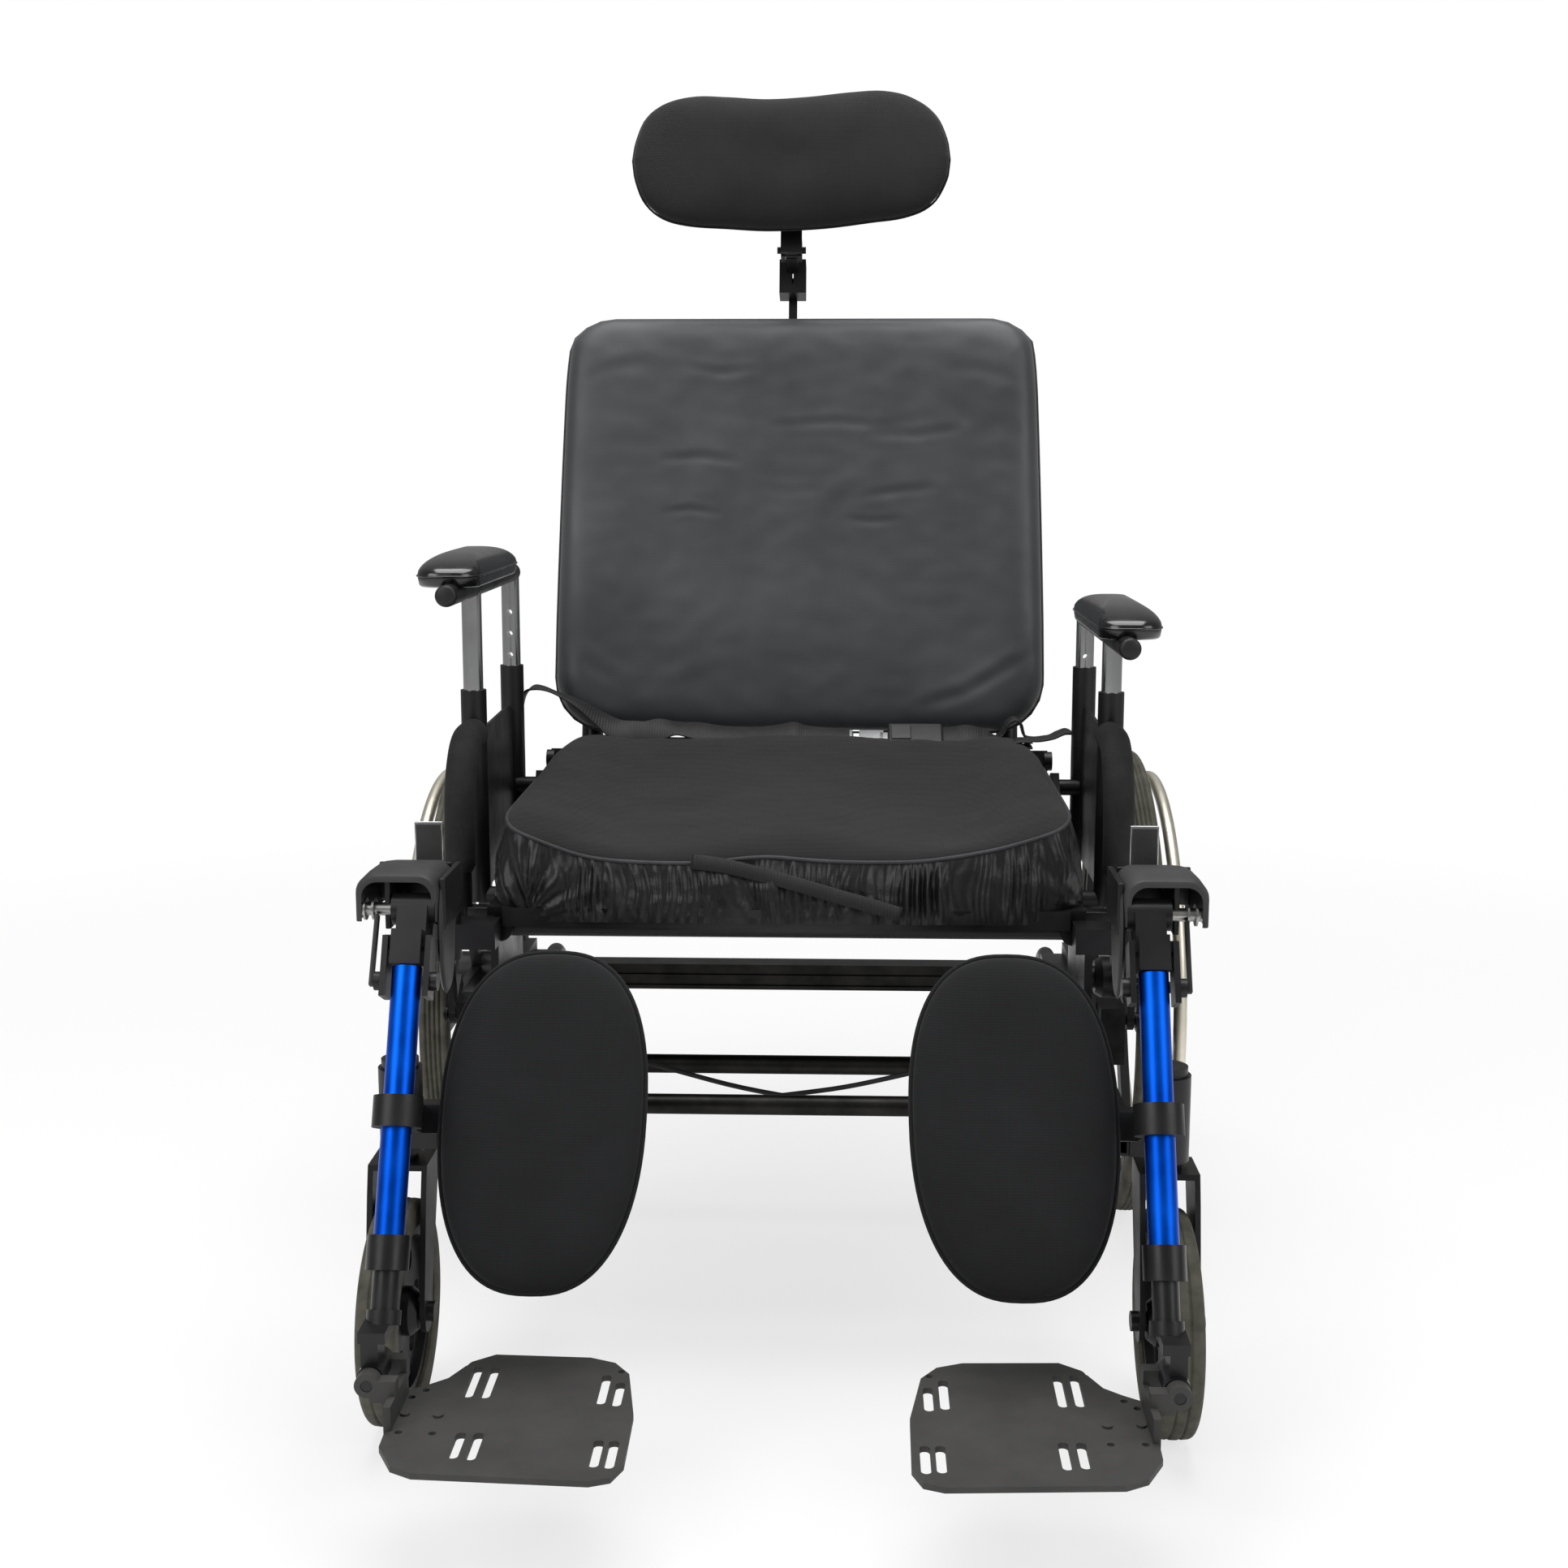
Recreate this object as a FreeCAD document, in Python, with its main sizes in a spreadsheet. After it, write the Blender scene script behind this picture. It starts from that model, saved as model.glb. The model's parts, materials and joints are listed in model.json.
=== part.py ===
"""Tilt in space wheelchair, modelled in millimetres.

+Z is up, the chair faces -Y, and the left of the photograph is -X. The origin lies
on the floor, midway between the foremost and the rearmost piece. Lengths along Y are
written from the front edge of the seat cushion, and DatumY moves them to the origin.
"""
import FreeCAD, Part
import math
import os
import re
import Sketcher

V = FreeCAD.Vector
SIDES = (("left", -1), ("right", 1))
EPSILON = 1e-6

SIZES = {
    # Overall places
    "DatumY": 173,
    "Gap": 0.3,
    "Slip": 0.09,
    # Base frame
    "RailX": 300, "RailWide": 25, "RailTall": 35, "RailWall": 2.5, "RailZ": 267.5,
    "RailFrontY": -105, "RailRearY": 478,
    "CrossRadius": 9.5, "FrontCrossY": -20, "FrontCrossZ": 265, "MidCrossY": 125, "MidCrossZ": 258,
    "AxleTubeSide": 30, "GrooveDeep": 3, "GrooveTall": 8,
    # Rear wheels
    "AxleY": 444.5, "WheelRadius": 266, "WheelX": 376, "TyreWide": 32, "TyreDeep": 20,
    "RimDeep": 14, "RimWide": 24, "HubRadius": 24, "HubLength": 58, "AxleRadius": 8,
    "HandrimX": 408.5, "HandrimRadius": 234.6, "HandrimTube": 7, "SpokeWide": 26, "SpokeThick": 10,
    "BracketThick": 12, "BracketLength": 90, "BracketTall": 66, "BracketX": 319,
    # Casters
    "SwivelX": 348, "SwivelY": -90, "Trail": 32, "CasterRadius": 101, "CasterWide": 36,
    "CasterTyreDeep": 24, "CasterHubRadius": 22, "CasterBolt": 5, "ForkGapSide": 4, "ForkThick": 5,
    "ForkTopZ": 236, "StemRadius": 8, "HousingRadius": 20, "HousingBottomZ": 243, "HousingTopZ": 322,
    "HousingCap": 8,
    # Wheel locks
    "LockY": 140, "LockZ": 304, "LockX": 345, "LockPin": 5, "TriggerPin": 3,
    # Anti-tip tubes
    "TipRadius": 9.5, "TipBend": 60,
    # Tilt rocker
    "TiltY": 230, "TiltZ": 600, "RockerRadius": 200, "RockerDeep": 24, "RockerThick": 10, "RockerX": 290,
    "RockerFront": -28, "RockerRear": 62, "ShoeAngle": 14, "ShoeTall": 22,
    "TowerX": 304, "TowerThick": 8, "TowerFrontY": 150, "TowerRearY": 310, "TowerTopZ": 398,
    # Seat
    "SeatWidth": 540, "SeatDepth": 438, "SeatRailX": 270, "SeatRailZ": 430, "FrameTube": 12.5,
    "SeatRailFrontY": -5, "PanThick": 9, "CushionRearDrop": 8,
    "CushionEdge": 92, "CushionTrough": 50, "CushionRise": 62,
    # Armrests
    "ArmX": 322, "PostFrontY": 167, "PostRearY": 397, "PostRadius": 10, "ReceiverRadius": 13,
    "ReceiverTopZ": 636, "ReceiverBottomZ": 418, "HolePitch": 24, "ArmRise": 48,
    "ArmTubeZ": 692, "ArmTubeRadius": 10.5, "ArmFrontY": 42,
    "PadX": 327, "PadWide": 62, "PadLong": 256, "PadThick": 32, "PadFrontY": 60,
    "PanelThick": 3, "PanelTopZ": 594, "PanelBottomZ": 420,
    "GripRadius": 15, "GripX": 319,
    # Back
    "BackY": 430, "BackZ": 560.6, "BackLean": 15.6, "BackHeight": 494, "BackWidth": 566, "BackThick": 50,
    "ShellThick": 6, "CaneX": 244.5, "CaneW": 69.1, "PivotDrop": 112, "CaneStraight": 400,
    "HandleLong": 110, "HandleBend": 50, "GripSleeve": 15.5, "GripSleeveLong": 95,
    "RecliningPin": 6, "KnobX": 290, "KnobRadius": 11,
    # Headrest
    "HeadX": -12, "HeadPostSide": 10, "HeadPostW": 90, "HeadPostBottom": 300, "HeadPostTop": 566,
    "HeadWidth": 368, "HeadTall": 160, "HeadThick": 56, "HeadU": 662, "HeadW": -34,
    # Legrests
    "SwingX": 315, "SwingY": -30, "SwingPin": 8, "KneeX": 329, "KneeWide": 79, "KneeFrontY": -155,
    "KneeTopZ": 515, "KneePinY": -150, "KneePinZ": 483, "KneePin": 6,
    "LegX": 316, "LegTopY": -181, "LegTopZ": 457.6, "LegLean": 25, "LegTube": 12.7, "LegLong": 232,
    "CalfAt": 140, "CalfBehind": 36, "CalfThick": 38, "CalfInset": 116, "CalfWide": 174, "CalfTall": 284,
    "ExtensionRadius": 11, "FlipX": 320, "FlipY": -331, "FlipZ": 145, "FlipPin": 5,
    "PlateTopZ": 117, "PlateThick": 5, "PlateInnerX": 109, "PlateOuterX": 304,
    "PlateFrontY": -445, "PlateRearY": -240,
}

doc = FreeCAD.newDocument("Wheelchair")
sheet = doc.addObject("Spreadsheet::Sheet", "Sizes")
for row, (alias, value) in enumerate(SIZES.items(), 1):
    sheet.set(f"A{row}", alias)
    sheet.set(f"B{row}", str(value))
    sheet.setAlias(f"B{row}", alias)
doc.recompute()

nodes = []


# Helpers

def bind(text):
    """The expression with each size's name led by the sheet's."""
    return re.sub(r"\b[A-Z][A-Za-z]+\b", lambda word: "Sizes." + word.group(0), str(text))


def size(text):
    """The value of an expression written in the sheet's names."""
    return float(sheet.evalExpression(bind(text)))


def base(obj, x="0", y="0", z="0"):
    for axis, text in (("x", x), ("y", y), ("z", z)):
        obj.setExpression("Placement.Base." + axis, bind(text))
    return obj


def turned(obj, axis, degrees):
    obj.Placement = FreeCAD.Placement(V(), FreeCAD.Rotation(axis, degrees))
    return obj


def leaned(obj, angle, x, y, z):
    """Lean a piece that was built upright, its top going back, and stand it at x, y, z."""
    turned(obj, V(-1, 0, 0), size(angle))
    obj.setExpression("Placement.Rotation.Angle", bind(angle))
    base(obj, x, f"{y} - DatumY", z)
    return obj


def node(obj, name, placed=False):
    """Name a finished sub-part and move it from the seat's front edge to the origin."""
    obj.Label = name
    if not placed:
        base(obj, "0", "-DatumY", "0")
    nodes.append(obj)
    return obj


def block(wide, deep, tall, x, y, z):
    """A box about its centre."""
    obj = doc.addObject("Part::Box", "Block")
    obj.setExpression("Length", bind(wide))
    obj.setExpression("Width", bind(deep))
    obj.setExpression("Height", bind(tall))
    return base(obj, f"({x}) - ({wide}) / 2", f"({y}) - ({deep}) / 2", f"({z}) - ({tall}) / 2")


def rod(radius, length, x, y, z, along="z"):
    """A cylinder about its centre, along one axis."""
    obj = doc.addObject("Part::Cylinder", "Rod")
    obj.setExpression("Radius", bind(radius))
    obj.setExpression("Height", bind(length))
    half = f"({length}) / 2"
    if along == "x":
        turned(obj, V(0, 1, 0), 90)
        return base(obj, f"({x}) - {half}", y, z)
    if along == "y":
        turned(obj, V(1, 0, 0), -90)
        return base(obj, x, f"({y}) - {half}", z)
    return base(obj, x, y, f"({z}) - {half}")


def fuse(*pieces):
    obj = doc.addObject("Part::MultiFuse", "Fuse")
    obj.Shapes = list(pieces)
    return obj


def cut(whole, *tools):
    obj = doc.addObject("Part::Cut", "Cut")
    obj.Base = whole
    obj.Tool = tools[0] if len(tools) == 1 else fuse(*tools)
    return obj


def outline(sketch, points):
    """A closed run of lines whose corners are held by the sheet's sizes."""
    places = [V(size(a), size(b), 0) for a, b in points]
    count = len(points)
    for index in range(count):
        sketch.addGeometry(Part.LineSegment(places[index], places[(index + 1) % count]), False)
    for index in range(count):
        sketch.addConstraint(Sketcher.Constraint("Coincident", index, 2, (index + 1) % count, 1))
    for index, pair in enumerate(points):
        for kind, text in zip(("DistanceX", "DistanceY"), pair):
            held = Sketcher.Constraint(kind, -1, 1, index, 1, size(text))
            number = sketch.addConstraint(held)
            sketch.setExpression(f"Constraints[{number}]", bind(text))


def sketched(plane, points):
    """A body with one outline on one of its origin planes."""
    body = doc.addObject("PartDesign::Body", "Body")
    sketch = body.newObject("Sketcher::SketchObject", "Sketch")
    support = [item for item in body.Origin.OriginFeatures if item.Role == plane][0]
    sketch.AttachmentSupport = (support, [""])
    sketch.MapMode = "FlatFace"
    outline(sketch, points)
    return body, sketch


def plate(plane, points, thick, x="0", y="0", z="0"):
    """A flat plate, its outline padded by half its thickness to each side of the plane."""
    body, sketch = sketched(plane, points)
    pad = body.newObject("PartDesign::Pad", "Pad")
    pad.Profile = sketch
    pad.setExpression("Length", bind(thick))
    pad.Midplane = True
    return base(body, x, y, z)


def turning(points, x, y, z):
    """A ring or wheel turned about an axle along X; each point is (along the axle, radius)."""
    body, sketch = sketched("XZ_Plane", points)
    turn = body.newObject("PartDesign::Revolution", "Turn")
    turn.Profile = sketch
    turn.ReferenceAxis = (sketch, ["H_Axis"])
    turn.Angle = 360
    return base(body, x, y, z)


def shaped(shape):
    obj = doc.addObject("Part::Feature", "Shape")
    obj.Shape = shape
    return obj


def rounded_path(points, radius):
    """Straight runs through the points, joined by tangent arcs of the radius."""
    edges = []
    start = points[0]
    for before, corner, after in zip(points, points[1:], points[2:]):
        into = (corner - before).normalize()
        out = (after - corner).normalize()
        turn = into.getAngle(out)
        reach = radius * math.tan(turn / 2)
        first = corner - into * reach
        last = corner + out * reach
        inward = (out - into).normalize()
        middle = corner + inward * (radius / math.cos(turn / 2) - radius)
        edges.append(Part.LineSegment(start, first).toShape())
        edges.append(Part.Arc(first, middle, last).toShape())
        start = last
    edges.append(Part.LineSegment(start, points[-1]).toShape())
    return Part.Wire(edges)


def pipe(points, bend, radius):
    """A round bar along the rounded path."""
    path = rounded_path(points, bend)
    ring = Part.Wire([Part.Circle(points[0], points[1] - points[0], radius).toShape()])
    return path.makePipeShell([ring], True, False)


# Base frame

def base_rails():
    length = "(RailRearY - RailFrontY)"
    middle = "(RailRearY + RailFrontY) / 2"
    tubes = []
    for _, side in SIDES:
        outer = block("RailWide", length, "RailTall", f"{side} * RailX", middle, "RailZ")
        hollow = block("RailWide - 2 * RailWall", length + " + 2", "RailTall - 2 * RailWall",
                       f"{side} * RailX", middle, "RailZ")
        tubes.append(cut(outer, hollow))
    node(fuse(*tubes), "base_rails")


def base_cross_tubes():
    span = "2 * RailX - RailWide"
    front = rod("CrossRadius", span, "0", "FrontCrossY", "FrontCrossZ", "x")
    middle = rod("CrossRadius", span, "0", "MidCrossY", "MidCrossZ", "x")
    axle = block(span, "AxleTubeSide", "AxleTubeSide", "0", "AxleY", "WheelRadius")
    groove_y = "AxleY - AxleTubeSide / 2 + GrooveDeep / 2"
    grooves = [block(span + " + 2", "GrooveDeep", "GrooveTall", "0", groove_y, f"WheelRadius + {up} * GrooveTall")
               for up in (-0.8, 0.8)]
    node(fuse(front, middle, cut(axle, *grooves)), "base_cross_tubes")


def caster_housings():
    tall = "(HousingTopZ - HousingBottomZ)"
    middle = "(HousingTopZ + HousingBottomZ) / 2"
    made = []
    for _, side in SIDES:
        x = f"{side} * SwivelX"
        barrel = rod("HousingRadius", tall, x, "SwivelY", middle)
        cap = rod("HousingRadius - 3", "HousingCap", x, "SwivelY", "HousingTopZ + HousingCap / 2")
        inner = "(RailX + RailWide / 2)"
        arm = block(f"SwivelX - {inner}", "RailTall", "RailTall", f"{side} * (SwivelX + {inner}) / 2",
                    "SwivelY", "RailZ")
        bore = rod("StemRadius + Slip", tall, x, "SwivelY", middle + " - 12")
        made.append(cut(fuse(barrel, cap, arm), bore))
    node(fuse(*made), "caster_housings")


def axle_brackets():
    made = []
    for _, side in SIDES:
        inner = "(RailX + RailWide / 2)"
        outer = "(BracketX + BracketThick / 2)"
        hub_inner = "(WheelX - HubLength / 2)"
        end = "(WheelX + HubLength / 2)"
        web = block(f"{outer} - {inner}", "BracketLength", "BracketTall", f"{side} * ({outer} + {inner}) / 2",
                    "AxleY - 12", "WheelRadius")
        spacer = rod("AxleRadius + 5", f"{hub_inner} - Gap - {outer} + 2",
                     f"{side} * ({hub_inner} - Gap + {outer} - 2) / 2", "AxleY", "WheelRadius", "x")
        axle = rod("AxleRadius", f"{end} + 4 - {inner}", f"{side} * ({end} + 4 + {inner}) / 2",
                   "AxleY", "WheelRadius", "x")
        button = rod("AxleRadius + 4", "5", f"{side} * ({end} + Gap + 3.5)", "AxleY", "WheelRadius", "x")
        made.append(fuse(web, spacer, axle, button))
    node(fuse(*made), "axle_brackets")


def rocker_towers():
    foot = "(RailZ + RailTall / 2)"
    made = []
    for _, side in SIDES:
        x = f"{side} * TowerX"
        web = plate("YZ_Plane", [("TowerFrontY", foot), ("TowerRearY", foot),
                                 ("TowerRearY - 14", "TowerTopZ - 26"), ("TowerRearY - 26", "TowerTopZ"),
                                 ("TowerFrontY + 16", "TowerTopZ"), ("TowerFrontY + 4", "TowerTopZ - 26")],
                    "TowerThick", x)
        foot_plate = block("RailWide", "TowerRearY - TowerFrontY", "6", f"{side} * RailX",
                           "(TowerRearY + TowerFrontY) / 2", foot + " + 3")
        shoes = []
        inner = "(RockerX - RockerThick / 2)"
        for way in (-1, 1):
            y = f"TiltY + {way} * (RockerRadius + 9) * sin(ShoeAngle)"
            z = "TiltZ - (RockerRadius + 9) * cos(ShoeAngle)"
            shoes.append(block(f"TowerX - {inner}", "34", "ShoeTall", f"{side} * (TowerX + {inner}) / 2", y, z))
        swept = rod("RockerRadius + Gap", f"TowerX - {inner} + 4", f"{side} * (TowerX + {inner}) / 2",
                    "TiltY", "TiltZ", "x")
        made.append(fuse(web, foot_plate, cut(fuse(*shoes), swept)))
    node(fuse(*made), "rocker_towers")


CABLE_RADIUS = 2.4
CABLE_LEFT = [(-290, 58, 306), (-262, 58, 306), (-212, 58, 297), (-160, 60, 286), (-105, 61, 270),
              (-52, 60, 256), (0, 58, 247), (54, 56, 240), (108, 56, 240), (160, 58, 246),
              (212, 62, 258), (250, 64, 262), (283, 64, 262)]
CABLE_RIGHT = [(290, 66, 304), (262, 66, 304), (212, 66, 294), (162, 67, 280), (110, 68, 266),
               (56, 69, 253), (2, 70, 245), (-52, 70, 238), (-104, 70, 236), (-156, 70, 244),
               (-210, 70, 256), (-250, 72, 262), (-283, 72, 262)]


def cord_path(points):
    """Runs joined by arcs as large as each pair of runs allows."""
    edges = []
    radii = []
    start = points[0]
    for before, corner, after in zip(points, points[1:], points[2:]):
        into = corner - before
        out = after - corner
        shorter = min(into.Length, out.Length)
        into.normalize()
        out.normalize()
        turn = into.getAngle(out)
        reach = 0.45 * shorter
        radius = reach / math.tan(turn / 2)
        first = corner - into * reach
        last = corner + out * reach
        middle = corner + (out - into).normalize() * (radius / math.cos(turn / 2) - radius)
        edges.append(Part.LineSegment(start, first).toShape())
        edges.append(Part.Arc(first, middle, last).toShape())
        radii.append(radius)
        start = last
    edges.append(Part.LineSegment(start, points[-1]).toShape())
    return Part.Wire(edges), radii


def tilt_cables():
    made = []
    for name, route in (("left", CABLE_LEFT), ("right", CABLE_RIGHT)):
        points = [V(*place) for place in route]
        path, radii = cord_path(points)
        ring = Part.Wire([Part.Circle(points[0], points[1] - points[0], CABLE_RADIUS).toShape()])
        tube = path.makePipeShell([ring], True, False)
        expected = math.pi * CABLE_RADIUS ** 2 * path.Length
        print("cable", name, "length", round(path.Length), "least radius", round(min(radii)),
              "volume ratio", round(tube.Volume / expected, 4))
        made.append(tube)
    node(shaped(Part.makeCompound(made)), "tilt_cables")


def wheel_lock_mounts():
    """A clamp on each rail with the lock lever's pin, and the stops that hold the cables' ends."""
    made = []
    inner = "(RailX + RailWide / 2)"
    for _, side in SIDES:
        clamp = block(f"LockX - 8 - {inner}", "42", "58", f"{side} * (LockX - 8 + {inner}) / 2", "LockY - 6", "LockZ - 10")
        pin = rod("LockPin", "20", f"{side} * LockX", "LockY", "LockZ", "x")
        head = rod("LockPin + 3", "3", f"{side} * (LockX + 7)", "LockY", "LockZ", "x")
        made.append(fuse(clamp, pin, head))
    foot = "(RailZ + RailTall / 2)"
    wall = "(RailX - RailWide / 2)"
    for route in (CABLE_LEFT, CABLE_RIGHT):
        (x, y, z), (_, low_y, low_z) = route[0], route[-1]
        side = 1 if x > 0 else -1
        made.append(block("14", "14", f"{z} + 8 - {foot}", f"{side} * ({abs(x)} + 7)", y, f"({z} + 8 + {foot}) / 2"))
        made.append(block(f"{wall} - 283", "16", "14", f"{-side} * (283 + {wall}) / 2", low_y, low_z))
    node(fuse(*made), "wheel_lock_mounts")


def anti_tippers():
    made = []
    for _, side in SIDES:
        x = side * size("RailX")
        rear = size("RailRearY")
        z = size("RailZ")
        points = [V(x, rear - 70, z), V(x, rear + 84, z), V(x, rear + 214, z - 172), V(x, rear + 248, z - 208)]
        made.append(pipe(points, size("TipBend"), size("TipRadius")))
    node(shaped(Part.makeCompound(made)), "anti_tippers")


def wheel_lock_levers():
    for name, side in SIDES:
        x = f"{side} * LockX"
        boss = rod("LockPin + 5", "7", x, "LockY", "LockZ", "x")
        handle = plate("YZ_Plane", [("LockY - 8", "LockZ"), ("LockY + 8", "LockZ"), ("LockY - 14", "LockZ + 92"),
                                    ("LockY - 26", "LockZ + 92")], "7", x)
        arm = plate("YZ_Plane", [("LockY", "LockZ - 8"), ("LockY + 36", "LockZ + 20"), ("LockY + 28", "LockZ + 34"),
                                 ("LockY - 8", "LockZ + 8")], "7", x)
        shoe = rod("6", "48", f"{side} * (LockX + 24)", "LockY + 30", "LockZ + 26", "x")
        bore = rod("LockPin + Slip", "12", x, "LockY", "LockZ", "x")
        node(cut(fuse(boss, handle, arm, shoe), bore), f"wheel_lock_lever_{name}")


# Casters and wheels

def casters():
    reach = "(CasterWide / 2 + ForkGapSide)"
    outer = "(CasterWide / 2 + ForkGapSide + ForkThick)"
    y = "(SwivelY - Trail)"
    for name, side in SIDES:
        x = f"{side} * SwivelX"
        silhouette = [("SwivelY - 23", "ForkTopZ"), ("SwivelY + 23", "ForkTopZ"), ("SwivelY + 25", "ForkTopZ - 16"),
                      (y + " + 17", "CasterRadius + 10"), (y + " + 14", "CasterRadius - 12"),
                      (y + " + 6", "CasterRadius - 18"), (y + " - 6", "CasterRadius - 18"),
                      (y + " - 14", "CasterRadius - 12"), (y + " - 17", "CasterRadius + 10"),
                      ("SwivelY - 30", "ForkTopZ - 26")]
        bar = plate("YZ_Plane", silhouette, f"2 * {outer}", x)
        gap = block(f"2 * {reach}", "160", "ForkTopZ - ForkThick", x, "SwivelY", "(ForkTopZ - ForkThick) / 2")
        stem = rod("StemRadius", "HousingTopZ - 22 - ForkTopZ + 2", x, "SwivelY",
                   "(HousingTopZ - 22 + ForkTopZ - 2) / 2")
        washer = rod("StemRadius + 6", "HousingBottomZ - Gap - ForkTopZ + 1", x, "SwivelY",
                     "(HousingBottomZ - Gap + ForkTopZ - 1) / 2")
        bolt = rod("CasterBolt", f"2 * {outer} + 12", x, y, "CasterRadius", "x")
        heads = [rod("CasterBolt + 4", "6", f"{side} * SwivelX + {way} * ({outer} + 3)", y, "CasterRadius", "x")
                 for way in (-1, 1)]
        spacers = [rod("CasterBolt + 4", f"{reach} - 19 - Gap + 0.5",
                       f"{side} * SwivelX + {way} * ({reach} + 19 + Gap + 0.5) / 2", y, "CasterRadius", "x")
                   for way in (-1, 1)]
        node(fuse(cut(bar, gap), stem, washer, bolt, *heads, *spacers), f"caster_fork_{name}")

        inner = "(CasterRadius - CasterTyreDeep)"
        rim = [("-12", inner + " - 9"), ("12", inner + " - 9"), ("13", inner), ("-13", inner)]
        web = [("-5", "CasterHubRadius - 4"), ("5", "CasterHubRadius - 4"), ("5", inner + " - 5"), ("-5", inner + " - 5")]
        hub = [("-19", "CasterBolt + Slip"), ("19", "CasterBolt + Slip"), ("19", "CasterHubRadius - 6"),
               ("12", "CasterHubRadius"), ("-12", "CasterHubRadius"), ("-19", "CasterHubRadius - 6")]
        wheel = fuse(*[turning(points, x, y, "CasterRadius") for points in (rim, web, hub)])
        middle = f"(({inner} - 9 + CasterHubRadius) / 2)"
        holes = [rod("10", "14", x, f"{y} + {middle} * cos({step * 60})", f"CasterRadius + {middle} * sin({step * 60})", "x")
                 for step in range(6)]
        node(cut(wheel, *holes), f"caster_hub_{name}")

        half = "CasterWide / 2"
        tread = [(f"-{half} + 2", inner), (f"{half} - 2", inner), (half, inner + " + 5"), (half, "CasterRadius - 8"),
                 (f"{half} - 3", "CasterRadius - 3"), (f"{half} - 8", "CasterRadius"),
                 (f"-{half} + 8", "CasterRadius"), (f"-{half} + 3", "CasterRadius - 3"),
                 (f"-{half}", "CasterRadius - 8"), (f"-{half}", inner + " + 5")]
        node(turning(tread, x, f"{y} - DatumY", "CasterRadius"), f"caster_tyre_{name}", placed=True)


def rear_wheels():
    seat = "(WheelRadius - TyreDeep)"
    for name, side in SIDES:
        x = f"{side} * WheelX"
        half = "RimWide / 2"
        rim = [(f"-{half}", seat), (f"-{half}", seat + " - RimDeep"), (half, seat + " - RimDeep"), (half, seat)]
        long = "HubLength / 2"
        hub = [(f"-{long}", "AxleRadius + Slip"), (long, "AxleRadius + Slip"), (long, "HubRadius - 5"),
               (f"{long} - 8", "HubRadius"), (f"-{long} + 8", "HubRadius"), (f"-{long}", "HubRadius - 5")]
        parts = [turning(rim, x, "AxleY", "WheelRadius"), turning(hub, x, "AxleY", "WheelRadius")]
        reach = f"({seat} - RimDeep + 3)"
        for step in range(6):
            spoke = doc.addObject("Part::Box", "Spoke")
            spoke.setExpression("Length", bind("SpokeThick"))
            spoke.setExpression("Width", bind("SpokeWide"))
            spoke.setExpression("Height", bind(f"{reach} - HubRadius + 4"))
            angle = 60 * step + 30
            turned(spoke, V(1, 0, 0), angle)
            start = "(HubRadius - 4)"
            base(spoke, f"{x} - SpokeThick / 2",
                 f"AxleY - SpokeWide / 2 * cos({angle}) - {start} * sin({angle})",
                 f"WheelRadius - SpokeWide / 2 * sin({angle}) + {start} * cos({angle})")
            parts.append(spoke)
        node(fuse(*parts), f"rear_wheel_{name}")

        wide = "TyreWide / 2"
        tread = [(f"-{wide} + 5", seat), (f"{wide} - 5", seat), (wide, seat + " + 9"), (f"{wide} - 3", "WheelRadius - 5"),
                 (f"{wide} - 9", "WheelRadius - 1"), ("0", "WheelRadius"), (f"-{wide} + 9", "WheelRadius - 1"),
                 (f"-{wide} + 3", "WheelRadius - 5"), (f"-{wide}", seat + " + 9")]
        node(turning(tread, x, "AxleY - DatumY", "WheelRadius"), f"rear_tyre_{name}", placed=True)

        ring = doc.addObject("Part::Torus", "Ring")
        ring.setExpression("Radius1", bind("HandrimRadius"))
        ring.setExpression("Radius2", bind("HandrimTube"))
        turned(ring, V(0, 1, 0), 90)
        base(ring, f"{side} * HandrimX", "AxleY", "WheelRadius")
        tabs = []
        for step in range(6):
            angle = 60 * step + 60
            inner = "(WheelX + RimWide / 2)"
            tabs.append(rod("4", f"HandrimX - {inner} - 0.1", f"{side} * (HandrimX + {inner} + 0.1) / 2",
                            f"AxleY - HandrimRadius * sin({angle})",
                            f"WheelRadius + HandrimRadius * cos({angle})", "x"))
        node(fuse(ring, *tabs), f"handrim_{name}")


# Seat

BACK_PIVOT_Y = "(BackY - PivotDrop * sin(BackLean) + CaneW * cos(BackLean))"
BACK_PIVOT_Z = "(BackZ - PivotDrop * cos(BackLean) - CaneW * sin(BackLean))"


def seat_frame():
    length = f"({BACK_PIVOT_Y} + 16 - SeatRailFrontY)"
    middle = f"({BACK_PIVOT_Y} + 16 + SeatRailFrontY) / 2"
    parts = []
    for _, side in SIDES:
        parts.append(rod("FrameTube", length, f"{side} * SeatRailX", middle, "SeatRailZ", "y"))
        parts.append(rod("RecliningPin", "SeatRailX - CaneX + FrameTube + 6",
                         f"{side} * (SeatRailX + CaneX - FrameTube - 6) / 2", BACK_PIVOT_Y, BACK_PIVOT_Z, "x"))
        arm = block("SwingX - SeatRailX + 2", "34", "24", f"{side} * (SwingX + SeatRailX) / 2 - {side} * 1",
                    "SwingY + 8", "SeatRailZ")
        sleeve = rod("SwingPin + 6", "44", f"{side} * SwingX", "SwingY", "SeatRailZ")
        bore = rod("SwingPin + Slip", "60", f"{side} * SwingX", "SwingY", "SeatRailZ")
        parts.append(cut(fuse(arm, sleeve), bore))
    for y in ("20", "SeatDepth - 20"):
        parts.append(rod("FrameTube", "2 * SeatRailX", "0", y, "SeatRailZ", "x"))
    node(fuse(*parts), "seat_frame")


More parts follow.
